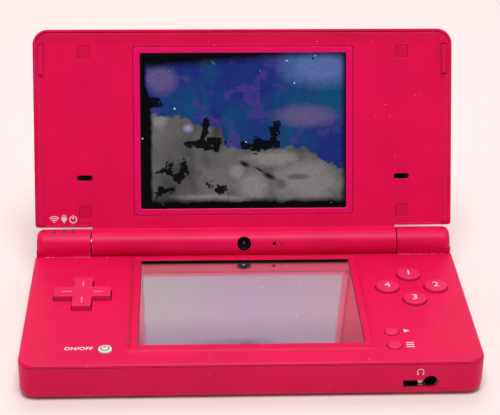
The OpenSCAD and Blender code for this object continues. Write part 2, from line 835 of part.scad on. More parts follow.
module wireless_module() color(board_green)
    translate([card_x - card_w / 2 - wireless_card_gap - wireless_l,
        bay_rear + bay_wall + wireless_bay_gap, board_z - fit - wireless_h])
        cube([wireless_l, wireless_d, wireless_h]);

module lower_lcd() color(steel)
    block([-window_w / 2 - lcd_lap, screen_y - window_h / 2 - lcd_lap - 0.4, lcd_z],
        [window_w / 2 + lcd_lap, screen_y + window_h / 2 + lcd_lap - 0.3, lcd_face]);

// The lower window's outline, shrunk all round
module window_plate(shrink, z0, z1, r)
    plate(-window_w / 2 + shrink, screen_y - window_h / 2 + shrink, window_w / 2 - shrink,
        screen_y + window_h / 2 - shrink, z0, z1, r, r);

module touch_panel() color(panel_mauve)
    window_plate(gasket_w + 2 * fit, lcd_face + fit, panel_z, window_r / 2);

module screen_gasket() color(dark) difference() {
    window_plate(fit, lcd_face + fit, panel_z + gasket_proud, window_r);
    window_plate(fit + gasket_w, lcd_face, panel_z + past, window_r / 2);
}

module face_button_pad() color(rubber_grey)
    translate([cluster_x, cluster_y, board_top]) {
        half = cluster_pitch + pad_margin;
        plate(-half, -half, half, half, 0, rubber_t, pad_margin, pad_margin);
        for (i = [0 : 3]) rotate(90 * i) translate([cluster_pitch, 0, rubber_t - dome_h / 2])
            cylinder(r1 = dome_low_r, r2 = dome_top_r, h = dome_h);
    }

module start_select_pad() color(rubber_grey) translate([start_x, start_y, board_top])
    plate(-small_pad_half, -start_pitch - small_pad_r, small_pad_half, small_pad_r, 0, rubber_t,
        2, 2);

module power_pad() color(rubber_grey) translate([power_x, power_y, board_top])
    cylinder(r = small_pad_r, h = rubber_t);

module audio_jack() color(dark) difference() {
    block([accessory_x - jack_wall, front + wall_t + fit, floor_t + fit],
        [jack_x + jack_half, front + wall_t + fit + jack_l + jack_wall, board_z - fit]);
    translate([jack_x, front, jack_z]) rotate([-90, 0, 0])
        cylinder(r = jack_r, h = wall_t + fit + jack_l);
    block([accessory_x, front, accessory_z],
        [jack_x - jack_r - 0.6, front + wall_t + accessory_d, accessory_z + accessory_h]);
}

module card_cage(w, d, h, t) difference() {
    block([-w / 2 - t, 0, -t], [w / 2 + t, d + t, h + t]);
    block([-w / 2, -1, 0], [w / 2, d, h]);
}

module card_slot() color(steel) translate([card_x, rear - wall_t - fit, card_z])
    rotate(180) card_cage(card_w, card_d, card_h, metal_t);

module memory_card_slot() color(steel)
    translate([right - wall_t - 0.6, memory_y, memory_z]) rotate(90)
        card_cage(memory_w, memory_d, memory_h, metal_t / 2);

module power_socket() color(dark) translate([power_socket_x, rear - wall_t - fit, power_z])
    rotate(180) card_cage(power_w, power_d, power_h, power_t);

module stylus_holder() color(dark) difference() {
    mouth = right - wall_t - fit;
    bar_x(mouth - stylus_l + holder_short, mouth, stylus_y, stylus_z,
        stylus_d / 2 + holder_gap + holder_t);
    bar_x(right - stylus_l - past, right, stylus_y, stylus_z, stylus_d / 2 + holder_gap);
}

module hinge_shaft() color(steel) bar_x(shaft_in, shaft_end, hinge_y, hinge_z, shaft_r);

module hinge_bush() color(steel) difference() {
    bar_x(-shaft_end, -shaft_in - past, hinge_y, hinge_z, bush_r);
    bar_x(-shaft_end - past, -shaft_in, hinge_y, hinge_z, bush_hole_r);
}

module hinge_flex() color(flex_orange)
    bar_x(-shaft_end + 0.2, -shaft_in + flex_reach, hinge_y, hinge_z, bush_hole_r - flex_gap);

module shoulder_pins() color(steel) for (s = [-1, 1])
    translate([s * shoulder_eye[0], shoulder_eye[1], floor_t + fit])
        cylinder(r = shoulder_pin_r, h = ledge_top - ledge_seam - floor_t - fit);

module shoulder_springs() color(steel) for (s = [-1, 1])
    translate([s * shoulder_eye[0], shoulder_eye[1], shoulder_z + eye_h + fit]) difference() {
        cylinder(r = shoulder_pin_r + spring_t, h = ledge_z - shoulder_z - eye_h - 2 * fit);
        translate([0, 0, -past]) cylinder(r = shoulder_pin_r + pin_fit, h = shoulder_h);
    }

module shoulder_switches() color(dark) for (s = [-1, 1])
    translate([s * switch_x, rear - shoulder_t - switch_gap, ledge_z - fit])
        block([-switch_half, -switch_d, -switch_h], [switch_half, 0, 0]);

module volume_board() color(board_green) {
    x = -right + wall_t + volume_in + volume_flange_t + volume_board_gap + volume_press;
    block([x, volume_y - volume_board_lap, volume_z - volume_board_drop],
        [x + volume_board_t, volume_y + volume_pitch + volume_board_lap, board_z - fit]);
}

// The rubber pivot under the direction pad, which tips front and back with it
module dpad_pivot() color(rubber_grey) translate([pad_x, pad_y, 0]) {
    translate([0, 0, pivot_top - pivot_t])
        cylinder(r = pad_flange_r - pivot_foot_r, h = pivot_t);
    translate([0, 0, pivot_z]) cylinder(r = pivot_foot_r, h = pivot_top - pivot_z - join);
}

module dpad() color(button_colour) translate([pad_x, pad_y, 0]) {
    top = base_h + pad_proud;
    difference() {
        union() {
            for (t = [0, 90]) rotate(t)
                plate(-pad_arm, -pad_arm_w / 2, pad_arm, pad_arm_w / 2,
                    pad_flange_top - join, top, pad_corner_r, pad_corner_r);
            translate([0, 0, pad_flange_top - flange_t])
                cylinder(r = pad_flange_r, h = flange_t);
            translate([0, 0, pivot_top + join / 2])
                cylinder(r = pad_stem_r, h = pad_flange_top - flange_t - pivot_top);
        }
        for (i = [0 : 3]) rotate(90 * i)
            block([pad_line[0], -pad_line_w / 2, top - pad_line_h],
                [pad_line[1], pad_line_w / 2, top + past]);
        translate([0, 0, top + pad_dish_r - pad_dish]) sphere(r = pad_dish_r, $fn = 96);
    }
}

// A push button: domed cap, flange under the deck and a stem to its rubber dome
module push_button(x, y, d, proud) translate([x, y, 0]) {
    top = base_h + proud;
    stem_r = d * stem_share;
    flange_r = d / 2 + button_gap + flange_edge;
    flat_r = d / 2 - cap_edge_r;
    rotate_extrude($fn = 64) polygon(concat(
        [[0, stem_foot], [stem_r, stem_foot], [stem_r, flange_top - flange_t],
        [flange_r, flange_top - flange_t], [flange_r, flange_top], [d / 2, flange_top]],
        quarter(flat_r, top - cap_dome - cap_edge_r, cap_edge_r, 0),
        [for (i = [1 : 4]) let (t = 1 - i / 4) [flat_r * t, top - cap_dome * t * t]]));
}

module face_button(i) color(button_colour)
    push_button(cluster_x + cluster_pitch * cos(90 * i), cluster_y + cluster_pitch * sin(90 * i),
        button_d, button_proud);

module face_button_right() face_button(0);
module face_button_top() face_button(1);
module face_button_left() face_button(2);
module face_button_bottom() face_button(3);
module start_button() color(button_colour) push_button(start_x, start_y, small_d, small_proud);
module select_button() color(button_colour) push_button(start_x, select_y, small_d, small_proud);
module power_button() color(cap_grey)
    push_button(power_x, power_y, small_d, small_proud);

// A shoulder button wraps the rear corner and swings on its pin
module shoulder(s) difference() {
    union() {
        intersection() {
            plate(-right, front, right, rear, shoulder_z, shoulder_top, front_r, rear_r);
            side_block(s, shoulder_in, right, rear - shoulder_side, rear, shoulder_z,
                shoulder_top);
            difference() {
                block([-right, front, 0], [right, rear, base_h]);
                plate(-right + shoulder_t, front, right - shoulder_t, rear - shoulder_t,
                    -past, base_h + past, 0, rear_r - shoulder_t);
            }
        }
        translate([s * shoulder_eye[0], shoulder_eye[1], shoulder_z])
            cylinder(r = shoulder_eye_r, h = eye_h);
    }
    translate([s * shoulder_eye[0], shoulder_eye[1], 0])
        cylinder(r = shoulder_pin_r + pin_fit, h = base_h);
}

module shoulder_left() color(shell_colour) shoulder(-1);
module shoulder_right() color(shell_colour) shoulder(1);

module volume_button(i) translate([0, volume_y + i * volume_pitch, volume_z]) {
    in = -right + wall_t + volume_in;
    block([-right - volume_proud, -volume_l / 2, -volume_h / 2],
        [in + volume_flange_t / 2, volume_l / 2, volume_h / 2]);
    block([in, -volume_l / 2 - volume_flange, -volume_h / 2 - volume_flange],
        [in + volume_flange_t, volume_l / 2 + volume_flange, volume_h / 2 + volume_flange / 2]);
}

module volume_down() color(button_colour) volume_button(0);
module volume_up() color(button_colour) volume_button(1);

module memory_card_door() color(shell_colour) translate([door_x, memory_y, door_z]) {
    block([door_axis_in - door_t, -door_l / 2, 0], [door_axis_in, door_l / 2, door_top - door_z]);
    rotate([90, 0, 0]) cylinder(r = door_roll_r, h = door_l, center = true);
    rotate([90, 0, 0]) cylinder(r = door_pin_r, h = door_l + 2 * door_pin_l, center = true);
}

module stylus() color(shell_colour) {
    r = stylus_d / 2;
    tip = right - stylus_l;
    translate([tip, stylus_y, stylus_z]) rotate([0, 90, 0]) rotate_extrude($fn = 48)
        polygon(concat([[0, 0], [tip_r, tip_r / 3], [tip_top_r, tip_l], [r - tip_r / 2,
            shoulder_len], [r, taper_l]], quarter(r - cap_r, stylus_l - cap_r, cap_r, 0),
            [[0, stylus_l]]));
}

module screw_pockets(z0, z1, grow) for (p = lid_screw_places)
    plate(p[0] - cover_side / 2 - grow, -p[1] - cover_side / 2 - grow,
        p[0] + cover_side / 2 + grow, -p[1] + cover_side / 2 + grow, z0, z1, cover_corner_r,
        cover_corner_r);

module lid_outer_cover() color(shell_colour) on_lid() difference() {
    union() {
        intersection() {
            soft_slab(-right, -lid_tip, right, 0, rim_z, hinge_r, front_r, front_r,
                rim_edge_r, lid_edge_r);
            plate(-right, -lid_tip, right, -lid_low, rim_z - past, hinge_r + past, 0.3,
                lid_low_r);
        }
        bar_x(-barrel_half, barrel_half, 0, 0, hinge_r, 96);
        block([-barrel_half, -lid_low - rim_t, inner_back], [barrel_half, 0, hinge_r]);
        lid_bosses(inner_back + lid_boss_h + lid_seam, skin_z + join);
    }
    difference() {
        plate(-right + rim_t, -lid_tip + rim_t, right - rim_t, -lid_low - rim_t,
            rim_z - past, skin_z, front_r - rim_t, 0.4);
        lid_bosses(inner_back + lid_boss_h + lid_seam, hinge_r);
    }
    bar_x(-barrel_half - past, barrel_half + past, 0, 0, hinge_r - barrel_t, 96);
    block([-barrel_half - 2 * join, -inner_low, -hinge_r - past],
        [barrel_half + 2 * join, hinge_r + past, inner_back + lid_seam]);
    block([-right + rim_t, -inner_low, rim_z - past], [right - rim_t, -lid_low + past, face_z]);
    block([-barrel_half + barrel_web, -inner_low, 0],
        [barrel_half - barrel_web, -hinge_r / 2, skin_z]);
    for (p = lid_screw_places) translate([p[0], -p[1], 0])
        cylinder(r = lid_screw_r + pin_fit, h = skin_z);
    translate([outer_camera_x, -outer_camera_u, skin_z - past])
        cylinder(r = outer_camera_r + fit, h = skin_t + 2 * past);
}

// Posts that the lid's screws pass through
module lid_bosses(z0, z1) for (p = lid_screw_places) translate([p[0], -p[1], z0])
    cylinder(r = lid_boss_r, h = z1 - z0);

module lid_inner_cover() color(shell_colour) on_lid() difference() {
    union() {
        plate(-inner_half, -inner_tip, inner_half, -inner_low, lip_z, inner_back,
            inner_corner_r, 0.3);
        block([-barrel_half, -inner_low - past, face_z], [barrel_half, -2, inner_back]);
        intersection() {
            bar_x(-barrel_half, barrel_half, 0, 0, hinge_r, 96);
            block([-right, -hinge_r - past, -hinge_r - past],
                [right, hinge_r + past, inner_back]);
        }
        lid_bosses(inner_back - join, inner_back + lid_boss_h);
    }
    hull() {
        lid_opening(-lip_flare, -lip_flare, rim_z - lip_flare, inner_corner_r - lip_w);
        lid_opening(0, 0, lip_z, inner_corner_r - lip_w);
        lid_opening(side_slope, tip_slope, face_z - join / 10, slope_corner_r);
    }
    bar_x(-barrel_half - past, barrel_half + past, 0, 0, hinge_r - barrel_t, 96);
    lens_plate(lens_gap, face_z - past, face_z + lens_t + 0.03, 1);
    plate(-window_w / 2, -lens_u - window_h / 2, window_w / 2, -lens_u + window_h / 2,
        0, inner_back + past, window_r, window_r);
    for (s = [-1, 1]) {
        hull() for (t = [-1, 1])
            translate([s * lid_screw_x + t * (slot_l - slot_w) / 2, -speaker_u, face_z - past])
                cylinder(d = slot_w, h = inner_t + 2 * past, $fn = 32);
        side_block(s, bumper_x - bumper_w - bumper_gap, bumper_x + bumper_gap,
            -bumper_u - bumper_l / 2 - bumper_gap, -bumper_u + bumper_l / 2 + bumper_gap,
            rim_z - past, bumper_seat);
    }
    screw_pockets(face_z - past, face_z + cover_pocket, fit);
    for (p = lid_screw_places) translate([p[0], -p[1], 0]) {
        cylinder(r = lid_screw_head_r + 0.15, h = inner_back - lid_seam);
        cylinder(r = lid_screw_r + head_room, h = inner_back + 2 * past);
    }
    translate([camera_x, 0, -hinge_r - past]) cylinder(r = camera_window_r + 0.12, h = 3);
    translate([mic_x, 0, -hinge_r - past]) cylinder(r = mic_r, h = 3, $fn = 24);
}

// A thin slice of the space over the inner cover, at one height
module lid_opening(side, tip, z, r)
    plate(-inner_half + lip_w + side, -inner_tip + lip_w + tip, inner_half - lip_w - side,
        -hinge_r, z, z + join / 10, r, 0);

// The lens's outline, grown all round
module lens_plate(grow, z0, z1, r)
    plate(-lens_w / 2 - grow, -lens_u - lens_h / 2 - grow, lens_w / 2 + grow,
        -lens_u + lens_h / 2 + grow, z0, z1, r, r);

module upper_lens() color(dark) on_lid()
    lens_plate(0, face_z + 0.02, face_z + lens_t, 1 - lens_gap);

module upper_lcd() color(steel) on_lid()
    block([-window_w / 2 - lcd_lap, -lens_u - window_h / 2 - lcd_lap, inner_back + lid_seam],
        [window_w / 2 + lcd_lap, -lens_u + window_h / 2 + lcd_lap,
        inner_back + lid_seam + upper_lcd_t]);

module speakers() color(dark) on_lid() for (s = [-1, 1])
    translate([s * lid_screw_x, -speaker_u, inner_back + fit]) difference() {
        plate(-speaker_half_w, -speaker_half_h, speaker_half_w, speaker_half_h, 0,
            skin_z - inner_back - 2 * fit, speaker_corner_r, speaker_corner_r);
        translate([0, 0, -past]) cylinder(r = speaker_cone_r, h = speaker_cone_d + past);
    }

module lid_screw_covers() color(shell_colour) on_lid()
    screw_pockets(face_z + 0.03, face_z + cover_pocket - fit, 0);

module lid_screws() color(steel) on_lid() for (p = lid_screw_places)
    translate([p[0], -p[1], inner_back - lid_seam])
        screw(lid_screw_head_r, lid_screw_head_h, lid_screw_r, lid_screw_l);

module lid_bumpers() color(shell_colour) on_lid() for (s = [-1, 1])
    plate(s > 0 ? bumper_x - bumper_w : -bumper_x, -bumper_u - bumper_l / 2,
        s > 0 ? bumper_x : -bumper_x + bumper_w, -bumper_u + bumper_l / 2,
        fit - hinge_lift, bumper_seat - lid_seam, 0.4, 0.4);

module camera_module() color(dark) on_lid() translate([camera_x, 0, camera_back])
    block([-camera_half, -camera_half_d, 0], [camera_half, camera_half_d, camera_l]);

module camera_window() color(glass_black) on_lid() translate([camera_x, 0, -hinge_r + 0.2])
    cylinder(r = camera_window_r, h = camera_back + hinge_r - 0.4);

module outer_camera() color(glass_black) on_lid()
    translate([outer_camera_x, -outer_camera_u, 0]) {
        translate([0, 0, skin_z - 0.6]) cylinder(r = outer_camera_r, h = skin_t + 0.5);
        block([-outer_camera_half, -outer_camera_half, inner_back + fit],
            [outer_camera_half, outer_camera_half, skin_z - fit]);
    }

module microphone() color(steel) on_lid() translate([mic_x, 0, -hinge_r + barrel_t + 0.4])
    cylinder(r = mic_body_r, h = mic_body_h);

module hinge_clutch() color(steel) on_lid() difference() {
    bar_x(shaft_in, barrel_half, 0, 0, hinge_r - barrel_t - pin_fit);
    bar_x(shaft_in - past, barrel_half + past, 0, 0, shaft_r + pin_fit);
}

module hinge_bearing() color(steel) on_lid() difference() {
    bar_x(-barrel_half, -shaft_in, 0, 0, hinge_r - barrel_t - pin_fit);
    bar_x(-barrel_half - past, -shaft_in + past, 0, 0, bush_r + pin_fit);
}

base_lower_case();
base_upper_case();
hinge_cover_left();
hinge_cover_right();
battery_cover();
battery_cover_screw();
case_screws();
battery();
main_board();
shield_can();
wireless_module();
lower_lcd();
touch_panel();
screen_gasket();
face_button_pad();
start_select_pad();
power_pad();
audio_jack();
card_slot();
memory_card_slot();
power_socket();
stylus_holder();
hinge_shaft();
hinge_bush();
hinge_flex();
indicator_lights();
shoulder_pins();
shoulder_springs();
shoulder_switches();
volume_board();
dpad_pivot();
dpad();
face_button_top();
face_button_left();
face_button_right();
face_button_bottom();
start_button();
select_button();
power_button();
shoulder_left();
shoulder_right();
volume_up();
volume_down();
memory_card_door();
stylus();
lid_outer_cover();
lid_inner_cover();
upper_lens();
upper_lcd();
speakers();
lid_screw_covers();
lid_screws();
lid_bumpers();
camera_module();
camera_window();
outer_camera();
microphone();
hinge_clutch();
hinge_bearing();
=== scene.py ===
"""Looks of the clamshell handheld game console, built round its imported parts."""

import json
import math
import random

import bmesh
import bpy
from mathutils import Matrix, Vector
from mathutils.bvhtree import BVHTree

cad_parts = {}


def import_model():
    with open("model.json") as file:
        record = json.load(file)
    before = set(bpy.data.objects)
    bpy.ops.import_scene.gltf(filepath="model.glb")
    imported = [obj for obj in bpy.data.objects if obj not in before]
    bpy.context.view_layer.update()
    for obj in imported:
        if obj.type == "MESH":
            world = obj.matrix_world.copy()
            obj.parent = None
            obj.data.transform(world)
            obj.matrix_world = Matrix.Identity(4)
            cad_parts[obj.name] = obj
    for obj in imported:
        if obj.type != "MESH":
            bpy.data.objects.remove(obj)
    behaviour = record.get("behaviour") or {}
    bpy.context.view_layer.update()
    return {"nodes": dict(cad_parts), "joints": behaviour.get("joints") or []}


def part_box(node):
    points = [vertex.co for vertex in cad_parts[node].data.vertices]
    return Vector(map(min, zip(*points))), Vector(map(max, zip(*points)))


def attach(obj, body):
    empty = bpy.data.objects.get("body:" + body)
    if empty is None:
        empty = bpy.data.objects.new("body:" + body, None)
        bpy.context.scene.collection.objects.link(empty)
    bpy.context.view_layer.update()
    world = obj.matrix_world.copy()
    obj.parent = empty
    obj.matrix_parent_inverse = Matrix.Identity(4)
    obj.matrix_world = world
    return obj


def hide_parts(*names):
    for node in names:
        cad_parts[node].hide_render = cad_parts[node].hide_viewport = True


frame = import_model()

# Sizes, in metres
MM = 0.001
SHELL_EDGE = 0.15 * MM
SMALL_EDGE = 0.1 * MM
FRAME_RISE = 0.5 * MM
PRINT_HEIGHT = 0.03 * MM
PRINT_SUNK = 0.02 * MM
PRINT_GRID = 0.35 * MM
PRINT_REACH = 6 * MM
BESIDE = 0.003 * MM

X_AXIS = Vector((1, 0, 0))
Y_AXIS = Vector((0, 1, 0))
Z_AXIS = Vector((0, 0, 1))
SIDES = (("left", -1), ("right", 1))

# The base's deck, its front face and the raised frame round the lower screen
deck_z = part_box("base_upper_case")[1].z - FRAME_RISE
front_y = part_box("base_lower_case")[0].y
screen_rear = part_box("screen_gasket")[1].y
frame_low = Vector((-36.2, -29.6, 0)) * MM
frame_high = Vector((36.2, 25.3, 0)) * MM

# The lid's own directions: along it from the hinge, and through it towards its back
LID_OPEN = math.radians(112.6)
hinge = next(joint for joint in frame["joints"] if joint["name"] == "lid_hinge")
hinge_axis = Vector(hinge["pos_m"])
lid_along = Vector((0, -math.cos(LID_OPEN), math.sin(LID_OPEN)))
lid_through = Vector((0, math.sin(LID_OPEN), math.cos(LID_OPEN)))


def lid_point(x, along, through):
    """A point given in millimetres across the lid, along it from the hinge, and through it."""
    return hinge_axis + Vector((x * MM, 0, 0)) + lid_along * (along * MM) + lid_through * (through * MM)


def node_middle(node):
    low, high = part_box(node)
    return (low + high) / 2


# Nodes and links of the materials

def feed(node, values):
    """Links a node's inputs to the sockets given for them, and sets them to any other value."""
    for key, value in values.items():
        if isinstance(value, bpy.types.NodeSocket):
            node.id_data.links.new(value, node.inputs[key])
        else:
            node.inputs[key].default_value = value


def put(tree, kind, inputs=None, **settings):
    """Adds a node, makes its settings and feeds its inputs."""
    node = tree.nodes.new(kind)
    for key, value in settings.items():
        setattr(node, key, value)
    feed(node, inputs or {})
    return node


def sums(tree, operation, *values):
    return put(tree, "ShaderNodeMath", dict(enumerate(values)), operation=operation).outputs[0]


def times(tree, first, second):
    return sums(tree, "MULTIPLY", first, second)


def mixed(tree, share, first, second):
    return put(tree, "ShaderNodeMix", {0: share, 6: first, 7: second}, data_type="RGBA").outputs[2]


def spread(tree, value, low, high, to_low=0.0, to_high=1.0):
    """Carries a value from the range low to high over to another range, and holds it inside."""
    inputs = {0: value, 1: low, 2: high, 3: to_low, 4: to_high}
    return put(tree, "ShaderNodeMapRange", inputs).outputs[0]


def noise(tree, vector, scale, detail=2.0, rough=0.5, twist=0.0):
    return put(tree, "ShaderNodeTexNoise", {
        "Vector": vector, "Scale": scale, "Detail": detail, "Roughness": rough,
        "Distortion": twist}).outputs["Fac"]


def place_in(tree):
    return put(tree, "ShaderNodeTexCoord").outputs["Object"]


def axes_of(tree, vector):
    return put(tree, "ShaderNodeSeparateXYZ", {"Vector": vector}).outputs


def snapped(tree, vector, step):
    """The corner of the grid cell in which a place lies."""
    cell = (step, step, step)
    return put(tree, "ShaderNodeVectorMath", {0: vector, 1: cell}, operation="SNAP").outputs[0]


def colour(red, green, blue):
    return (red, green, blue, 1.0)


def scaled(base, share):
    """A colour made darker or lighter by a share."""
    return colour(*[share * part for part in base[:3]])


def start_group(name, inputs, outputs):
    """A shader group with float inputs, given with their defaults, and float outputs."""
    group = bpy.data.node_groups.new(name, "ShaderNodeTree")
    for key, value in inputs.items():
        socket = group.interface.new_socket(key, in_out="INPUT", socket_type="NodeSocketFloat")
        socket.default_value = value
    for key in outputs:
        group.interface.new_socket(key, in_out="OUTPUT", socket_type="NodeSocketFloat")
    return group, group.nodes.new("NodeGroupInput").outputs, group.nodes.new("NodeGroupOutput")


def use_group(tree, group, **inputs):
    return put(tree, "ShaderNodeGroup", inputs, node_tree=group).outputs


def make_moulded_grain():
    """The fine spark-eroded grain of a moulded surface, and its slow drift in tone."""
    group, given, out = start_group("moulded_grain", {"Fineness": 5000.0}, ["Height", "Tone"])
    where = place_in(group)
    feed(out, {"Height": noise(group, where, given["Fineness"], 3.0, 0.65),
               "Tone": noise(group, where, 55.0, 3.0, 0.55)})
    return group


def make_handling_marks():
    """Grease left by fingers and the hairline scratches of use."""
    inputs = {"Smudges": 70.0, "Scratches": 0.5}
    group, given, out = start_group("handling_marks", inputs, ["Smudge", "Scratch"])
    where = place_in(group)
    broad = noise(group, where, given["Smudges"], 3.0, 0.6, 0.6)
    fine = noise(group, where, 420.0, 4.0, 0.7)
    drawn = put(group, "ShaderNodeMapping", {
        "Vector": where, "Rotation": (0.3, 0.5, 0.9), "Scale": (90.0, 4200.0, 900.0)}).outputs[0]
    lines = noise(group, drawn, 1.0, 1.0, 0.4)
    patches = noise(group, where, 160.0, 1.0)
    line = times(group, spread(group, lines, 0.74, 0.8), spread(group, patches, 0.56, 0.62))
    feed(out, {"Smudge": times(group, spread(group, broad, 0.48, 0.72), spread(group, fine, 0.3, 0.75)),
               "Scratch": times(group, line, given["Scratches"])})
    return group


def make_settled_dust():
    """Single pale specks of dust, a few to the square centimetre."""
    inputs = {"Spacing": 500.0, "Size": 0.12, "Share": 0.3}
    group, given, out = start_group("settled_dust", inputs, ["Specks"])
    cells = put(group, "ShaderNodeTexVoronoi", {
        "Vector": place_in(group), "Scale": given["Spacing"]}).outputs
    kind = put(group, "ShaderNodeSeparateColor", {"Color": cells["Color"]}).outputs
    chosen = sums(group, "LESS_THAN", kind["Red"], given["Share"])
    near = sums(group, "LESS_THAN", cells["Distance"], times(group, kind["Green"], given["Size"]))
    feed(out, {"Specks": times(group, chosen, near)})
    return group


def make_edge_wear_and_highlight():
    """Where the surface turns sharply, broken up as use wears it; the lighter colour laid there is partly
    wear and partly a painted highlight.
    """
    group, given, out = start_group("edge_wear_and_highlight", {"Reach": 0.0003, "Breakup": 600.0}, ["Wear_and_highlight"])
    rounded = put(group, "ShaderNodeBevel", {"Radius": given["Reach"]}, samples=4).outputs[0]
    true = put(group, "ShaderNodeNewGeometry").outputs["Normal"]
    agree = put(group, "ShaderNodeVectorMath", {0: rounded, 1: true}, operation="DOT_PRODUCT")
    turn = spread(group, agree.outputs["Value"], 0.995, 0.9)
    broken = spread(group, noise(group, place_in(group), given["Breakup"], 3.0, 0.6), 0.38, 0.62)
    feed(out, {"Wear_and_highlight": times(group, turn, broken)})
    return group


moulded_grain = make_moulded_grain()
handling_marks = make_handling_marks()
settled_dust = make_settled_dust()
edge_wear_and_highlight = make_edge_wear_and_highlight()

DUST = colour(0.85, 0.78, 0.74)


def start_material(name):
    material = bpy.data.materials.new(name)
    material.use_nodes = True
    tree = material.node_tree
    return material, tree, tree.nodes["Principled BSDF"]


def raised(tree, height, depth):
    """The normal of a surface that a height in the 0 to 1 range raises by up to depth metres."""
    return put(tree, "ShaderNodeBump", {"Height": height, "Distance": depth}).outputs[0]


def by_grain(tree, surface, low, high):
    """A value that follows the grain's height from low to high."""
    return spread(tree, surface["Height"], 0.3, 0.7, low, high)


def dusted(tree, tone, strength, **look):
    """A tone with specks of dust over it."""
    specks = use_group(tree, settled_dust, **look)["Specks"]
    return mixed(tree, times(tree, specks, strength), tone, DUST)


def plastic(name, base, worn, rough=0.38, shine=0.14, grain=5200.0, specks=0.1):
    """Moulded plastic: grain, a slow drift in tone, edges lightened partly by wear and partly as a painted
    highlight, finger marks, scratches and dust.
    """
    material, tree, shader = start_material(name)
    surface = use_group(tree, moulded_grain, Fineness=grain)
    marks = use_group(tree, handling_marks, Smudges=60.0, Scratches=0.5)
    edge = use_group(tree, edge_wear_and_highlight, Reach=0.25 * MM, Breakup=700.0)
    tone = mixed(tree, spread(tree, surface["Tone"], 0.35, 0.65), scaled(base, 0.9), base)
    # Lighter edges: partly wear, partly a painted highlight.
    tone = mixed(tree, times(tree, edge["Wear_and_highlight"], 0.3), tone, worn)
    tone = mixed(tree, times(tree, marks["Scratch"], 0.35), tone, worn)
    polish = spread(tree, marks["Smudge"], 0.0, 1.0, rough, rough - 0.08)
    feed(shader, {
        "Base Color": dusted(tree, tone, 0.5, Spacing=620.0, Size=0.1, Share=specks),
        "Roughness": sums(tree, "ADD", polish, by_grain(tree, surface, -0.02, 0.03)),
        "Specular IOR Level": shine,
        "Normal": raised(tree, surface["Height"], 0.006 * MM)})
    return material


def metal(name, base, rough=0.3):
    """Rolled or turned metal with a fine drawn grain and dull patches."""
    material, tree, shader = start_material(name)
    surface = use_group(tree, moulded_grain, Fineness=9000.0)
    marks = use_group(tree, handling_marks, Smudges=300.0, Scratches=1.0)
    dull = scaled(base, 0.7)
    tone = mixed(tree, spread(tree, surface["Tone"], 0.35, 0.65), base, dull)
    feed(shader, {
        "Base Color": mixed(tree, marks["Smudge"], tone, dull),
        "Roughness": by_grain(tree, surface, rough - 0.06, rough + 0.1),
        "Metallic": 1.0,
        "Normal": raised(tree, surface["Height"], 0.002 * MM)})
    return material


def soft_rubber(name, base):
    """Silicone rubber, dull, with a fine tooth that holds dust."""
    material, tree, shader = start_material(name)
    surface = use_group(tree, moulded_grain, Fineness=3500.0)
    tone = mixed(tree, spread(tree, surface["Tone"], 0.3, 0.7), base, scaled(base, 1.6))
    feed(shader, {
        "Base Color": dusted(tree, tone, 0.4, Spacing=1500.0, Size=0.2, Share=0.3),
        "Roughness": by_grain(tree, surface, 0.62, 0.8),
        "Normal": raised(tree, surface["Height"], 0.01 * MM)})
    return material


def gasket_rubber():
    """The lower screen's gasket, painted darker at the rear than along its sides: black at the rear, as
    shade under the frame's rear wall, and a lighter grey along its sides.
    """
    material, tree, shader = start_material("gasket_rubber")
    surface = use_group(tree, moulded_grain, Fineness=3500.0)
    depth = axes_of(tree, place_in(tree))["Y"]
    # Black towards the rear: painted shade under the frame's rear wall.
    rear = spread(tree, depth, screen_rear - 1.2 * MM, screen_rear - 0.7 * MM)
    side = mixed(tree, spread(tree, surface["Tone"], 0.3, 0.7),
                 colour(0.12, 0.075, 0.09), colour(0.22, 0.14, 0.16))
    feed(shader, {
        "Base Color": mixed(tree, rear, side, colour(0.004, 0.004, 0.004)),
        "Roughness": by_grain(tree, surface, 0.6, 0.75),
        "Specular IOR Level": 0.1,
        "Normal": raised(tree, surface["Height"], 0.008 * MM)})
    return material


def circuit_board():
    """Green solder mask over copper tracks, with tinned pads."""
    material, tree, shader = start_material("board_green")
    where = place_in(tree)
    tracks = put(tree, "ShaderNodeTexBrick", {
        "Vector": where, "Scale": 260.0, "Color1": colour(0.01, 0.12, 0.05),
        "Color2": colour(0.008, 0.09, 0.04), "Mortar": colour(0.03, 0.2, 0.08),
        "Mortar Size": 0.03}).outputs["Color"]
    pads = use_group(tree, settled_dust, Spacing=420.0, Size=0.35, Share=0.35)["Specks"]
    feed(shader, {
        "Base Color": mixed(tree, pads, tracks, colour(0.6, 0.5, 0.3)),
        "Metallic": pads,
        "Roughness": spread(tree, noise(tree, where, 900.0), 0.3, 0.7, 0.25, 0.4),
        "Normal": raised(tree, pads, 0.02 * MM)})
    return material


def cell_wrap():
    """The battery's grey wrap, faintly creased."""
    material, tree, shader = start_material("cell_wrap")
    crease = noise(tree, place_in(tree), 240.0, 4.0, 0.6, 0.4)
    feed(shader, {
        "Base Color": mixed(tree, crease, colour(0.25, 0.25, 0.26), colour(0.4, 0.4, 0.42)),
        "Roughness": spread(tree, crease, 0.3, 0.7, 0.35, 0.5),
        "Normal": raised(tree, crease, 0.04 * MM)})
    return material


def flex_film():
    """Amber film of the flexible circuit, with its fine parallel tracks."""
    material, tree, shader = start_material("flex_film")
    tracks = put(tree, "ShaderNodeTexWave", {
        "Vector": place_in(tree), "Scale": 900.0, "Distortion": 0.4}).outputs["Fac"]
    feed(shader, {
        "Base Color": mixed(tree, tracks, colour(0.5, 0.2, 0.02), colour(0.7, 0.34, 0.06)),
        "Roughness": spread(tree, tracks, 0.0, 1.0, 0.25, 0.4),
        "Normal": raised(tree, tracks, 0.02 * MM)})
    return material


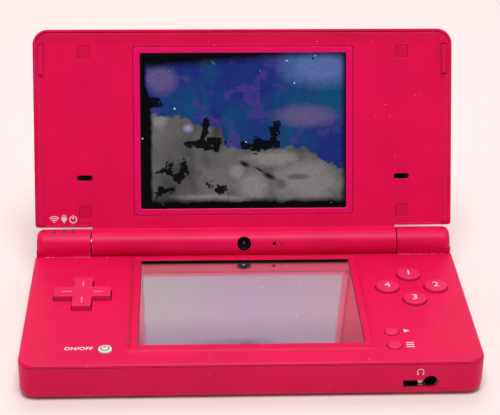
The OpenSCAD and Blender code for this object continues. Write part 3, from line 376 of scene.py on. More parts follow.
def lens_border():
    """Magenta paint seen through the clear lens."""
    material, tree, shader = start_material("lens_border_paint")
    surface = use_group(tree, moulded_grain, Fineness=2500.0)
    tone = mixed(tree, surface["Tone"], colour(0.72, 0.003, 0.11), colour(0.79, 0.005, 0.13))
    feed(shader, {
        "Base Color": dusted(tree, tone, 0.6, Spacing=700.0, Size=0.1, Share=0.2),
        "Roughness": by_grain(tree, surface, 0.24, 0.3),
        "Specular IOR Level": 0.16,
        "Normal": raised(tree, surface["Height"], 0.002 * MM)})
    return material


def share_of_reach(tree, where, centre, reach, tilt=0.0):
    """How far a place lies from an oval's centre, as a share of the oval's reach."""
    inside = put(tree, "ShaderNodeMapping", {
        "Vector": where, "Location": (*centre, 0.0), "Rotation": (0.0, 0.0, math.radians(tilt)),
        "Scale": (*reach, 1.0)}, vector_type="TEXTURE").outputs[0]
    return put(tree, "ShaderNodeVectorMath", {0: inside}, operation="LENGTH").outputs["Value"]


# Ovals on the display: the middle and reach in millimetres from its foot, and the tilt in degrees
LIGHT_BLUE = [((25.0, 47.0), (16.0, 8.5))]
LILAC = [((20.5, 30.5), (12.0, 4.5)), ((-27.0, 42.5), (6.5, 6.0))]
LIGHT_GREY = [((22.0, 9.0), (15.0, 10.0)), ((3.0, 7.5), (7.0, 6.5)), ((-2.2, 12.3), (3.4, 2.8)),
              ((10.0, 16.5), (12.0, 3.4)), ((-8.0, 3.4), (16.0, 1.6), -3.0), ((-27.5, 29.5), (3.2, 3.6))]
DULL_GREY = [((12.3, 8.2), (2.4, 2.0)), ((18.0, 10.5), (5.0, 1.3))]
BLACK_HOOKS = [((-12.9, 26.5), (1.2, 5.0), -10.0), ((-13.4, 21.4), (5.8, 2.1), 4.0),
               ((5.2, 21.2), (5.6, 2.3)), ((10.4, 24.4), (2.2, 4.2)), ((-29.5, 35.0), (3.0, 2.0))]
BLACK_PATCHES = [((-22.5, 12.0), (9.5, 6.6), -30.0), ((-26.5, 6.5), (6.2, 5.0)),
                 ((-8.5, 6.8), (8.0, 3.2), -25.0)]
BLACK_STREAKS = [((0.4, 14.8), (2.5, 1.2), -25.0), ((5.2, 12.9), (3.0, 0.5), -28.0),
                 ((8.4, 10.8), (3.2, 1.2), -28.0)]
GLOW = [((-18.2, 26.6), (2.1, 1.7))]
HAIR = [((-9.8, 48.0), (1.1, 0.07), -48.0)]

# The foot of the window above that of the lens, and the cells in which its blotches crumble
WINDOW_FOOT = 2.1 * MM
BLOCK = 1.1 * MM
CRUMB = 0.4 * MM


def sleeping_display():
    """A dark display under dusty glass: blue haze above, grey haze below, black blotches between."""
    material, tree, shader = start_material("upper_display_glass")
    where = place_in(tree)
    axes = axes_of(tree, where)
    across = sums(tree, "DIVIDE", axes["X"], MM)
    foot_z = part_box("upper_lens")[0].z + WINDOW_FOOT * lid_along.z
    upward = sums(tree, "DIVIDE", sums(tree, "SUBTRACT", axes["Z"], foot_z), MM * lid_along.z)
    flat = put(tree, "ShaderNodeCombineXYZ", {"X": across, "Y": upward}).outputs[0]
    blocks = snapped(tree, where, BLOCK)
    cloud = noise(tree, where, 48.0, 4.0, 0.55, 0.6)
    mottle = noise(tree, where, 150.0, 5.0, 0.6, 0.8)
    fine = noise(tree, where, 900.0, 3.0, 0.7)
    patch = noise(tree, blocks, 130.0, 2.0, 0.6)
    crumble = noise(tree, snapped(tree, where, CRUMB), 330.0, 3.0, 0.6)
    ragged = sums(tree, "SUBTRACT", noise(tree, blocks, 300.0, 2.0, 0.7), 0.9)
    ragged = sums(tree, "MULTIPLY_ADD", crumble, 0.8, ragged)

    def ovals(shapes, soft, rag):
        """1 inside ovals whose edges fade over the share soft of their reach and are ragged by rag."""
        whole = 0.0
        for shape in shapes:
            length = sums(tree, "MULTIPLY_ADD", ragged, rag, share_of_reach(tree, flat, *shape))
            whole = sums(tree, "MAXIMUM", whole, spread(tree, length, 1.0, 1.0 - soft))
        return whole

    def with_ovals(below, shapes, soft, rag, strength, tone):
        return mixed(tree, times(tree, ovals(shapes, soft, rag), strength), below, tone)

    blue = mixed(tree, spread(tree, cloud, 0.42, 0.6), colour(0.012, 0.026, 0.2), colour(0.006, 0.07, 0.18))
    blue = mixed(tree, spread(tree, patch, 0.55, 0.6, 0.0, 0.75), blue, colour(0.055, 0.042, 0.24))
    blue = with_ovals(blue, LIGHT_BLUE, 0.6, 0.3, 0.85, colour(0.1, 0.17, 0.42))
    blue = with_ovals(blue, LILAC, 0.5, 0.3, 0.7, colour(0.15, 0.115, 0.27))
    grey = mixed(tree, spread(tree, cloud, 0.38, 0.62),
                 colour(0.055, 0.055, 0.056), colour(0.15, 0.15, 0.15))
    grey = with_ovals(grey, LIGHT_GREY, 0.6, 0.5, 0.8, colour(0.27, 0.27, 0.27))
    grey = with_ovals(grey, DULL_GREY, 0.5, 0.3, 0.7, colour(0.08, 0.08, 0.08))
    line = sums(tree, "MULTIPLY_ADD", ragged, 4.0, 19.8)
    line = sums(tree, "ADD", line, spread(tree, across, -7.5, -5.5, 7.0, 0.0))
    line = sums(tree, "ADD", line, spread(tree, across, -18.0, -14.0, 3.5, 0.0))
    line = sums(tree, "SUBTRACT", line, spread(tree, across, 20.0, 31.0, 0.0, 6.5))
    haze = mixed(tree, spread(tree, sums(tree, "SUBTRACT", upward, line), -0.2, 0.4), grey, blue)
    patchy = sums(tree, "MULTIPLY_ADD", ovals(BLACK_PATCHES, 0.8, 0.5), 0.34, crumble)
    blots = sums(tree, "MAXIMUM", ovals(BLACK_HOOKS, 0.12, 2.4), spread(tree, patchy, 0.73, 0.745))
    streaks = times(tree, ovals(BLACK_STREAKS, 0.7, 0.5), 0.93)
    blots = sums(tree, "MAXIMUM", times(tree, blots, 0.97), streaks)
    haze = mixed(tree, blots, haze, colour(0.0015, 0.0015, 0.002))
    haze = with_ovals(haze, GLOW, 0.7, 0.2, 0.8, colour(0.36, 0.34, 0.6))
    drift = times(tree, sums(tree, "SUBTRACT", mottle, 0.5), 3.0)
    left_edge = spread(tree, upward, 35.0, 41.0, -30.6, -32.4)
    head_edge = sums(tree, "ADD", spread(tree, across, -26.0, 16.0, 47.6, 51.2), times(tree, drift, 0.7))
    shown = spread(tree, sums(tree, "SUBTRACT", sums(tree, "ADD", across, ragged), left_edge), 0.0, 0.9)
    for share in (spread(tree, across, 33.7, 31.8),
                  spread(tree, sums(tree, "ADD", upward, drift), 2.0, 3.9),
                  spread(tree, sums(tree, "SUBTRACT", head_edge, upward), -0.6, 2.2),
                  spread(tree, fine, 0.2, 0.8, 0.78, 1.1)):
        shown = times(tree, shown, share)
    haze = mixed(tree, shown, colour(0.001, 0.001, 0.002), haze)
    dust = use_group(tree, settled_dust, Spacing=300.0, Size=0.1, Share=0.3)["Specks"]
    lint = use_group(tree, settled_dust, Spacing=900.0, Size=0.14, Share=0.05)["Specks"]
    specks = sums(tree, "MAXIMUM", dust, times(tree, lint, 0.5))
    specks = sums(tree, "MAXIMUM", specks, times(tree, ovals(HAIR, 0.5, 0.0), 0.6))
    speckled = mixed(tree, specks, haze, colour(0.7, 0.75, 0.8))
    direct = put(tree, "ShaderNodeLightPath").outputs["Is Camera Ray"]
    marks = use_group(tree, handling_marks, Smudges=90.0, Scratches=1.0)
    feed(shader, {
        "Base Color": mixed(tree, direct, colour(0.12, 0.07, 0.11), speckled),
        "Roughness": spread(tree, marks["Smudge"], 0.0, 1.0, 0.04, 0.12),
        "Specular IOR Level": 0.3,
        "Normal": raised(tree, specks, 0.01 * MM)})
    return material


# Middle and reach of a painted reflection of a dark object, a dark streaked patch near the film's front
# edge.
DARK_REFLECTION_CENTRE = (-4.0 * MM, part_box("touch_panel")[0].y)
DARK_REFLECTION_REACH = (17.0 * MM, 4.6 * MM)


def touch_film():
    """The lower screen: a dull display under a film that mirrors the lid; its tint by place and the dark
    streaked patch along its front edge are painted reflection.
    """
    material, tree, shader = start_material("touch_film")
    where = place_in(tree)
    surface = use_group(tree, moulded_grain, Fineness=3000.0)
    marks = use_group(tree, handling_marks, Smudges=110.0, Scratches=1.0)
    dust = use_group(tree, settled_dust, Spacing=420.0, Size=0.05, Share=0.12)["Specks"]
    axes = axes_of(tree, where)
    drift = sums(tree, "MULTIPLY_ADD", noise(tree, where, 60.0, 3.0, 0.55), 16 * MM, -8 * MM)
    across = sums(tree, "ADD", axes["X"], drift)
    forward = sums(tree, "MULTIPLY_ADD", drift, -0.3, axes["Y"])
    # Tint by place, greyer at the left, pinker at the right and darker towards the front: painted
    # reflection.
    tone = mixed(tree, spread(tree, across, -26 * MM, -4 * MM),
                 colour(0.67, 0.575, 0.6), colour(0.69, 0.5, 0.645))
    tone = mixed(tree, spread(tree, across, 4 * MM, 26 * MM), tone, colour(0.74, 0.48, 0.575))
    tone = mixed(tree, spread(tree, forward, -10 * MM, -25 * MM), tone, colour(0.48, 0.345, 0.45))
    tone = mixed(tree, spread(tree, surface["Tone"], 0.3, 0.7, 0.0, 0.08), tone, colour(0.45, 0.35, 0.45))
    drawn = put(tree, "ShaderNodeMapping", {"Vector": where, "Scale": (0.25, 2.0, 1.0)}).outputs[0]
    streaks = spread(tree, noise(tree, drawn, 900.0, 3.0, 0.65), 0.35, 0.62, 0.3, 1.0)
    # The dark streaked patch near the front edge: a painted reflection of a dark object.
    painted_dark_reflection = spread(tree, share_of_reach(tree, where, DARK_REFLECTION_CENTRE, DARK_REFLECTION_REACH), 1.0, 0.25)
    tone = mixed(tree, times(tree, painted_dark_reflection, streaks), tone, colour(0.16, 0.12, 0.24))
    tone = mixed(tree, times(tree, marks["Scratch"], 0.3), tone, colour(0.8, 0.76, 0.78))
    feed(shader, {
        "Base Color": mixed(tree, dust, tone, DUST),
        "Metallic": spread(tree, dust, 0.0, 1.0, 0.95, 0.0),
        "Roughness": spread(tree, marks["Smudge"], 0.0, 1.0, 0.07, 0.16),
        "Coat Weight": 0.3,
        "Coat Roughness": 0.03,
        "Coat IOR": 1.7,
        "Normal": raised(tree, surface["Height"], 0.0004 * MM)})
    return material


def camera_glass():
    """Coated glass over the camera's dark throat."""
    material, tree, shader = start_material("camera_glass")
    surface = use_group(tree, moulded_grain, Fineness=4000.0)
    feed(shader, {
        "Base Color": mixed(tree, surface["Tone"], colour(0.002, 0.003, 0.006), colour(0.01, 0.008, 0.02)),
        "Roughness": by_grain(tree, surface, 0.04, 0.1),
        "Coat Weight": 0.5})
    return material


def ink(name, base, rough=0.5):
    """Pad-printed ink, a little thin in places; the same finish makes the painted shade lines at the frame
    and round the bumpers, and the dirt flakes at the hinge covers.
    """
    material, tree, shader = start_material(name)
    surface = use_group(tree, moulded_grain, Fineness=7000.0)
    thin = colour(base[0] * 0.92, base[1] * 0.8, base[2] * 0.82)
    feed(shader, {
        "Base Color": mixed(tree, spread(tree, surface["Height"], 0.45, 0.7), base, thin),
        "Roughness": by_grain(tree, surface, rough, rough + 0.1),
        "Normal": raised(tree, surface["Height"], 0.004 * MM)})
    return material


# Lighter red for scratches and edges; on the edges it is partly wear and partly a painted highlight.
WORN_AND_HIGHLIT_RED = colour(0.95, 0.12, 0.2)
shell = plastic("shell_plastic", colour(0.76, 0.0035, 0.074), WORN_AND_HIGHLIT_RED)
lid_face = plastic("lid_face_plastic", colour(0.77, 0.003, 0.078), WORN_AND_HIGHLIT_RED)
# The deck takes a darker copy of the shell's pink: painted shade that offsets the stronger light on its
# upward face.
deck = plastic("deck_plastic_painted_darker", colour(0.69, 0.003, 0.066), WORN_AND_HIGHLIT_RED)
screw_cover = plastic("screw_cover_plastic", colour(0.66, 0.002, 0.06), colour(0.75, 0.02, 0.1), rough=0.45)
button = plastic("button_plastic", colour(0.72, 0.018, 0.1), colour(0.95, 0.2, 0.3),
                 rough=0.34, grain=7000.0)
power_cap = plastic("power_cap_plastic", colour(0.72, 0.66, 0.6), colour(0.86, 0.82, 0.78),
                    rough=0.3, grain=7000.0)
black_plastic = plastic("black_plastic", colour(0.008, 0.008, 0.009), colour(0.06, 0.06, 0.06), rough=0.42)
indicator = plastic("indicator_plastic", colour(0.1, 0.055, 0.045), colour(0.3, 0.2, 0.18),
                    rough=0.3, grain=8000.0)
steel = metal("bright_steel", colour(0.55, 0.55, 0.55))
dark_steel = metal("dark_steel", colour(0.14, 0.15, 0.15), 0.22)
contact = metal("contact_metal", colour(0.75, 0.68, 0.6), 0.4)
bezel_black = plastic("bezel_black", colour(0.003, 0.003, 0.004), colour(0.01, 0.01, 0.012),
                      rough=0.3, shine=0.03, specks=0.0)
rubber = soft_rubber("dark_rubber", colour(0.02, 0.02, 0.022))
gasket = gasket_rubber()
board = circuit_board()
cell = cell_wrap()
flex = flex_film()
border_paint = lens_border()
upper_display = sleeping_display()
touch = touch_film()
glass = camera_glass()
white_ink = ink("white_ink", colour(0.84, 0.62, 0.62))
grey_ink = ink("grey_ink", colour(0.2, 0.18, 0.17))
pale_ink = ink("pale_ink", colour(0.8, 0.22, 0.3))
dark_ink_and_shade = ink("dark_ink_and_shade", colour(0.36, 0.0, 0.02))
groove_shade = ink("groove_shade", colour(0.27, 0.0, 0.015), 0.8)
seam_dirt = ink("seam_dirt", colour(0.62, 0.4, 0.38), 0.8)

BY_SLOT = {
    "shell": shell, "deck": deck, "button": button, "power_cap": power_cap, "steel": steel, "board": board,
    "cell": cell, "display": black_plastic, "touch": touch, "lens": upper_display, "camera_glass": glass,
    "rubber": rubber, "black_plastic": black_plastic, "flex": flex, "light": indicator,
}
BY_NODE = {"lid_inner_cover": lid_face, "lid_screw_covers": screw_cover, "screen_gasket": gasket}
for name, node in frame["nodes"].items():
    for place in node.material_slots:
        place.material = BY_NODE.get(name) or BY_SLOT[place.material.name.split(".")[0]]


# Softened edges of the moulded and turned parts

def make_one_skin():
    """Joins the triangles of a part into one skin with smooth shading."""
    group = bpy.data.node_groups.new("one_skin", "GeometryNodeTree")
    for direction in ("INPUT", "OUTPUT"):
        group.interface.new_socket("Geometry", in_out=direction, socket_type="NodeSocketGeometry")
    given = group.nodes.new("NodeGroupInput").outputs[0]
    joined = put(group, "GeometryNodeMergeByDistance", {"Geometry": given, "Distance": 2e-6}).outputs[0]
    smooth = put(group, "GeometryNodeSetShadeSmooth", {"Geometry": joined}).outputs[0]
    put(group, "NodeGroupOutput", {0: smooth})
    return group


one_skin = make_one_skin()


def shade_flat_bands(piece):
    piece.modifiers.new("shading", "WEIGHTED_NORMAL").keep_sharp = False


def soften(node, width):
    """Rounds a part's edges by width, and shades its faces as flat and round as they are."""
    part = frame["nodes"][node]
    part.modifiers.new("one_skin", "NODES").node_group = one_skin
    flats = part.modifiers.new("flats", "DECIMATE")
    flats.decimate_type = "DISSOLVE"
    flats.angle_limit = math.radians(0.1)
    edges = part.modifiers.new("edges", "BEVEL")
    edges.width = width
    edges.segments = 2
    edges.limit_method = "ANGLE"
    edges.angle_limit = math.radians(35)
    edges.use_clamp_overlap = False
    edges.loop_slide = False
    shade_flat_bands(part)


for node in ("base_upper_case", "base_lower_case", "lid_outer_cover", "lid_inner_cover", "dpad",
             "power_button", "face_button_top", "face_button_left", "face_button_right",
             "face_button_bottom", "start_button", "select_button", "shoulder_left", "shoulder_right",
             "stylus"):
    soften(node, SHELL_EDGE)
for node in ("hinge_cover_left", "hinge_cover_right", "battery_cover", "memory_card_door", "volume_up",
             "volume_down", "lid_bumpers", "lid_screw_covers", "case_screws", "battery_cover_screw",
             "audio_jack", "power_socket", "card_slot"):
    soften(node, SMALL_EDGE)


# Pieces modelled here

def add_piece(name, bm, materials, body, smooth=True):
    """Makes a piece of the scene from its faces, and lets it ride on a body."""
    bmesh.ops.recalc_face_normals(bm, faces=bm.faces)
    for face in bm.faces:
        face.smooth = smooth
    mesh = bpy.data.meshes.new(name)
    bm.to_mesh(mesh)
    bm.free()
    for material in materials:
        mesh.materials.append(material)
    piece = bpy.data.objects.new(name, mesh)
    bpy.context.scene.collection.objects.link(piece)
    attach(piece, body)
    return piece


def join_rings(bm, rings):
    """Joins rings of corners by bands of faces, where a ring may be a single point."""
    bands = []
    for first, second in zip(rings, rings[1:]):
        steps = max(len(first), len(second))
        band = []
        for i in range(steps):
            j = (i + 1) % steps
            corners = [first[i % len(first)], first[j % len(first)], second[j % len(second)],
                       second[i % len(second)]]
            band.append(bm.faces.new(list(dict.fromkeys(corners))))
        bands.append(band)
    return bands


def ringed_plate(rings, to_world, capped=True, second=()):
    """A plate from outlines, each (points, height); the bands in second take the second material."""
    bm = bmesh.new()
    loops = [[bm.verts.new(to_world(x, y, height)) for x, y in points] for points, height in rings]
    bands = join_rings(bm, loops)
    if capped:
        bands += [[bm.faces.new(loops[0])], [bm.faces.new(loops[-1])]]
    for number in second:
        for face in bands[number]:
            face.material_index = 1
    return bm


def round_rectangle(half_x, half_y, radius, steps=8):
    """The corners of a rectangle with round corners, anticlockwise."""
    points = []
    for turn in range(4):
        centre_x = (half_x - radius) * (1 if turn in (0, 3) else -1)
        centre_y = (half_y - radius) * (1 if turn in (0, 1) else -1)
        for step in range(steps + 1):
            angle = math.pi / 2 * (turn + step / steps)
            points.append((centre_x + radius * math.cos(angle), centre_y + radius * math.sin(angle)))
    return points


def flat_on(middle):
    """Places points given from a middle on the deck, at their own height."""
    return lambda x, y, z: Vector((middle.x + x, middle.y + y, z))


# The upper lens, across and along the lid and through it
LENS_HALF_LENGTH = 27.6 * MM
LENS_MIDDLE = 36.9 * MM
LENS_FRONT = -0.08 * MM
LENS_BACK = 0.7 * MM
LENS_CORNER = 1.0 * MM
LENS_CHAMFER = 0.15 * MM
WINDOW_HALF = (33.8 * MM, 25.5 * MM)
WINDOW_CORNER = 0.7 * MM
LIP_WIDTH = 0.32 * MM
LIP_DEPTH = 0.1 * MM


def upper_lens():
    """The clear lens of the lid: painted border, raised lip and dark window."""
    half_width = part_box("upper_lens")[1].x

    def outline(less, height, radius):
        return round_rectangle(half_width - less, LENS_HALF_LENGTH - less, radius), height

    def window(more, deeper):
        outer = round_rectangle(WINDOW_HALF[0] + more, WINDOW_HALF[1] + more, WINDOW_CORNER + more)
        return outer, LENS_FRONT + deeper

    def to_world(x, y, height):
        return hinge_axis + Vector((x, 0, 0)) + lid_along * (LENS_MIDDLE + y) + lid_through * height

    rings = [
        outline(0, LENS_BACK, LENS_CORNER), outline(0, LENS_FRONT + LENS_CHAMFER, LENS_CORNER),
        outline(LENS_CHAMFER, LENS_FRONT, LENS_CORNER - LENS_CHAMFER), window(LIP_WIDTH, 0),
        window(LIP_WIDTH * 0.7, LIP_DEPTH * 0.3), window(LIP_WIDTH * 0.3, LIP_DEPTH), window(0, LIP_DEPTH),
    ]
    bm = ringed_plate(rings, to_world, second=(5, -1))
    piece = add_piece("upper_lens_panel", bm, [border_paint, upper_display], "lid")
    shade_flat_bands(piece)
    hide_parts("upper_lens")


FILM_EDGE = 0.08 * MM
FILM_CORNER = 0.9 * MM


def touch_screen():
    """The touch film over the lower display, its edge broken by a small chamfer."""
    low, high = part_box("touch_panel")

    def outline(less, z):
        half = (high - low) / 2
        return round_rectangle(half.x - less, half.y - less, FILM_CORNER - less), z

    rings = [outline(0, low.z), outline(0, high.z - FILM_EDGE), outline(FILM_EDGE, high.z)]
    bm = ringed_plate(rings, flat_on((low + high) / 2))
    piece = add_piece("touch_screen_film", bm, [touch], "base", smooth=False)
    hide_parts("touch_panel")


def turned(name, profile, centre, axis, material, body, steps=40):
    """A turned piece from a profile of (radius, height) pairs in millimetres along axis."""
    bm = bmesh.new()
    turn = axis.to_track_quat("Z", "Y").to_matrix()
    rings = []
    for radius, height in profile:
        angles = [2 * math.pi * i / steps for i in range(steps if radius else 1)]
        rings.append([bm.verts.new(centre + turn @ Vector((
            radius * math.cos(angle), radius * math.sin(angle), height)) * MM) for angle in angles])
    join_rings(bm, rings)
    piece = add_piece(name, bm, [material], body)
    shade_flat_bands(piece)
    return piece


CAMERA_X = -0.15 * MM
BEZEL_PROFILE = [(0, 2.8), (2.1, 2.8), (2.1, 4.43), (2.02, 4.55), (1.5, 4.55), (1.25, 4.3), (0.8, 4.05),
                 (0.78, 3.8), (0, 3.8)]
GLASS_PROFILE = [(0, 3.85), (0.76, 3.87), (0.74, 4.0), (0.5, 4.13), (0.25, 4.19), (0, 4.21)]


def inner_camera():
    """The camera in the hinge barrel: black bezel with the throat's steps, and domed glass."""
    centre = Vector((CAMERA_X, hinge_axis.y, hinge_axis.z))
    bezel = turned("inner_camera_bezel", BEZEL_PROFILE, centre, -lid_through, bezel_black,
                   "lid")
    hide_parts("camera_window")
    turned("inner_camera_glass", GLASS_PROFILE, centre, -lid_through, glass, "lid")


def swept_strip(name, path, half_width, low, high, to_world, material, body):
    """A flat strip along an open path of (x, y) points, from low to high through the part."""
    bm = bmesh.new()
    sections = []
    for i, (x, y) in enumerate(path):
        before, after = path[max(i - 1, 0)], path[min(i + 1, len(path) - 1)]
        length = math.hypot(after[0] - before[0], after[1] - before[1])
        side_x = -(after[1] - before[1]) / length * half_width
        side_y = (after[0] - before[0]) / length * half_width
        sections.append([bm.verts.new(to_world(x + sign * side_x, y + sign * side_y, height))
                         for sign, height in ((1, low), (1, high), (-1, high), (-1, low))])
    join_rings(bm, sections)
    bm.faces.new(sections[0])
    bm.faces.new(sections[-1])
    return add_piece(name, bm, [material], body, smooth=False)


# The lid's seam, in millimetres across the lid and along it from the hinge
SEAM_SIDE = 67.525
SEAM_TIP = 69.125
SEAM_FOOT = 6.375
SEAM_CORNER = 4.02
SEAM_HALF_WIDTH = 0.155


def lid_seams():
    """The ledge that shows in the seam round the inner cover, and the one along its lower edge."""
    angles = [math.radians(degrees) for degrees in range(0, 91, 10)]
    right_side = [(SEAM_SIDE - SEAM_CORNER + SEAM_CORNER * math.sin(angle),
                   SEAM_TIP - SEAM_CORNER + SEAM_CORNER * math.cos(angle)) for angle in angles]
    right_side.append((SEAM_SIDE, SEAM_FOOT + 0.2))
    path = [(-x, along) for x, along in reversed(right_side)] + right_side
    swept_strip("lid_seam_ledge", path, SEAM_HALF_WIDTH, -1.2, -0.7, lid_point, shell, "lid")
    foot = [(0.3 - SEAM_SIDE, SEAM_FOOT), (SEAM_SIDE - 0.3, SEAM_FOOT)]
    swept_strip("lid_low_seam_ledge", foot, SEAM_HALF_WIDTH, 0.0, 0.4, lid_point, shell, "lid")


# The lid's slope beside a hinge cover, across and through the lid, and how its depth runs out along it
SLOPE = [(65.4, -0.13), (66.86, -1.68), (67.34, -1.68), (67.62, -1.2), (67.62, 0.2), (65.4, 0.2)]
RUN_OUT = [(6.58, -1.68), (6.3, -1.45), (5.75, -0.14)]


def lip_ends():
    """Where the lid's sloping sides run out beside the hinge covers."""
    for side, sign in SIDES:
        rings = [([(sign * x, max(through, deepest)) for x, through in SLOPE], along)
                 for along, deepest in RUN_OUT]
        bm = ringed_plate(rings, lambda x, through, along: lid_point(x, along, through))
        add_piece(f"lip_end_{side}", bm, [lid_face], "lid", smooth=False)


def frame_groove():
    """A painted shade line in the step round the raised frame, running onto the deck just outside it."""

    def outline(more, z):
        half = (frame_high - frame_low) / 2
        return round_rectangle(half.x + more * MM, half.y + more * MM, (1.0 + more) * MM), deck_z + z * MM

    # Painted shade ring, from the step out onto the deck.
    rings = [outline(-0.25, 0.21), outline(0.01, 0.21), outline(0.02, 0.015), outline(0.5, 0.015)]
    bm = ringed_plate(rings, flat_on((frame_low + frame_high) / 2), capped=False)
    add_piece("frame_groove_painted_shade", bm, [groove_shade], "base")


def as_given(x, y, z):
    return Vector((x, y, z))


FILM_LAP_OUT = 0.16 * MM
FILM_LAP_HALF = 0.22 * MM
FILM_LAP_SUNK = 0.05 * MM
FILM_LAP_RISE = 0.02 * MM


def film_edges():
    """The film's clear edges at its left and right, which lap the gasket."""
    low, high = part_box("touch_panel")
    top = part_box("screen_gasket")[1].z + FILM_LAP_RISE
    for (side, sign), x in zip(SIDES, (low.x, high.x)):
        middle = x + sign * FILM_LAP_OUT
        swept_strip(f"film_edge_{side}", [(middle, low.y), (middle, high.y)], FILM_LAP_HALF,
                    high.z - FILM_LAP_SUNK, top, as_given, touch, "base")


# Place of the black strip on the frame's rear wall, which is painted shade.
REAR_SHADE_IN = 0.04 * MM
REAR_SHADE_SHORT = 0.2 * MM
REAR_SHADE_HALF = 0.03 * MM
REAR_SHADE_RISE = 0.56 * MM


def rear_wall_shade_strip():
    """A thin black strip standing up along the frame's rear wall, in the gasket's rubber: painted shade on
    that wall.
    """
    low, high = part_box("screen_gasket")
    line = high.y - REAR_SHADE_IN
    path = [(low.x + REAR_SHADE_SHORT, line), (high.x - REAR_SHADE_SHORT, line)]
    swept_strip("gasket_rear_lip", path, REAR_SHADE_HALF, high.z, high.z + REAR_SHADE_RISE,
                as_given, gasket, "base")


JACK_X = 52.4 * MM
JACK_Z = 4.8 * MM
SLEEVE_PROFILE = [(1.8, -3.2), (1.8, -1.45), (2.06, -1.2), (2.14, -1.2), (2.14, -1.45)]
FIRST_PAD_X = 44.5
PAD_PITCH = 0.72


def jack_details():
    """Metal inside the front face's openings: the jack's sleeve, a contact spring and the slot's pads."""
    turned("jack_sleeve", SLEEVE_PROFILE, Vector((JACK_X, front_y, JACK_Z)), -Y_AXIS, dark_steel,
           "base")

    def upright(x, z, depth):
        return Vector((x * MM, front_y + depth * MM, z * MM))

    def lying(x, depth, z):
        return upright(x, z, depth)

    swept_strip("jack_contact", [(48.75, 4.35), (49.4, 4.4), (50.05, 4.15)], 0.7, 1.3, 1.46,
                upright, contact, "base")
    swept_strip("jack_contact_foot", [(48.7, 3.3), (50.3, 3.25)], 0.16, 1.0, 1.46,
                upright, contact, "base")
    for number in range(6):
        x = FIRST_PAD_X + number * PAD_PITCH
        swept_strip(f"slot_pad_{number + 1}", [(x, 0.3), (x, 1.25)], 0.25, 2.88, 2.97,
                    lying, contact, "base")


upper_lens()
touch_screen()
inner_camera()
lid_seams()
lip_ends()
frame_groove()
rear_wall_shade_strip()
film_edges()
jack_details()


# Printed marks, and painted shade lines laid on the same way

def arc(centre, radius, start, end, steps=14):
    """Points on a round stretch, with angles in degrees."""
    angles = [math.radians(start + (end - start) * i / steps) for i in range(steps + 1)]
    return [(centre[0] + radius * math.cos(angle), centre[1] + radius * math.sin(angle)) for angle in angles]


def stroke(points, width):
    """The outline of a line of that width along the points, with round ends."""
    left, right = [], []
    for i, (x, y) in enumerate(points):
        before, after = points[max(i - 1, 0)], points[min(i + 1, len(points) - 1)]
        along = math.atan2(after[1] - before[1], after[0] - before[0])
        side = (-math.sin(along) * width / 2, math.cos(along) * width / 2)
        left.append((x + side[0], y + side[1]))
        right.append((x - side[0], y - side[1]))
    start = math.degrees(math.atan2(points[0][1] - points[1][1], points[0][0] - points[1][0]))
    end = math.degrees(math.atan2(points[-1][1] - points[-2][1], points[-1][0] - points[-2][0]))
    tip = arc(points[-1], width / 2, end + 75, end - 75, 6)
    tail = arc(points[0], width / 2, start + 75, start - 75, 6)
    return left + tip + right[::-1] + tail


def disc(centre, radius):
    return arc(centre, radius, 0, 345, 23)


def bar(left, low, right, high):
    return [(left, low), (right, low), (right, high), (left, high)]


def text_shapes(text, size, bold=0.0, spacing=1.0):
    """A word or figure as a flat mesh in millimetres round the origin, its strokes widened by bold."""
    curve = bpy.data.curves.new("figure", "FONT")
    curve.body = text
    curve.size = size
    curve.align_x = "CENTER"
    curve.align_y = "CENTER"
    curve.resolution_u = 6
    curve.offset = bold
    curve.space_character = spacing
    holder = bpy.data.objects.new("figure", curve)
    mesh = bpy.data.meshes.new_from_object(holder)
    bpy.data.objects.remove(holder)
    bpy.data.curves.remove(curve)
    return mesh


def cut_to_grid(bm):
    """Cuts flat shapes into small cells, so that they can follow a curved surface."""
    step = PRINT_GRID / MM
    for axis in (X_AXIS, Y_AXIS):
        reach = [vert.co.dot(axis) for vert in bm.verts]
        cut = math.floor(min(reach) / step) * step
        while cut < max(reach):
            bmesh.ops.bisect_plane(bm, geom=bm.verts[:] + bm.edges[:] + bm.faces[:],
                                   plane_co=axis * cut, plane_no=axis, dist=0.0001)
            cut += step
    bmesh.ops.triangulate(bm, faces=bm.faces)
    for face in bm.faces:
        if face.normal.z < 0:
            face.normal_flip()


def print_on(name, shapes, centre, up, node, body, material):
    """Lays flat shapes, in millimetres round centre, on a part's surface as a thin layer of ink, which also
    serves as painted shade along the frame and round the bumpers.

    A ray that slips between two faces of the part is sent again just beside.
    """
    bm = bmesh.new()
    if isinstance(shapes, bpy.types.Mesh):
        bm.from_mesh(shapes)
        bpy.data.meshes.remove(shapes)
    else:
        for outline in shapes:
            bm.faces.new([bm.verts.new((x, y, 0)) for x, y in outline])
    bmesh.ops.remove_doubles(bm, verts=bm.verts, dist=0.001)
    cut_to_grid(bm)
    outward = X_AXIS.cross(up).normalized()
    surface = BVHTree.FromObject(frame["nodes"][node], bpy.context.evaluated_depsgraph_get())
    for vert in bm.verts:
        above = centre + X_AXIS * (vert.co.x * MM) + up * (vert.co.y * MM) + outward * PRINT_REACH
        hits = [surface.ray_cast(start, -outward)[0] for start in (above, above + X_AXIS * BESIDE)]
        vert.co = (hits[0] or hits[1]) - outward * PRINT_SUNK
    lifted = bmesh.ops.extrude_face_region(bm, geom=bm.faces[:])["geom"]
    for vert in (part for part in lifted if isinstance(part, bmesh.types.BMVert)):
        vert.co += outward * (PRINT_SUNK + PRINT_HEIGHT)
    add_piece(name, bm, [material], body, smooth=False)


def print_on_deck(name, shapes, x, y, material):
    print_on(name, shapes, Vector((x, y, deck_z)), Y_AXIS, "base_upper_case", "base", material)


def print_on_lid(name, shapes, centre, material):
    print_on(name, shapes, centre, lid_along, "lid_inner_cover", "lid", material)


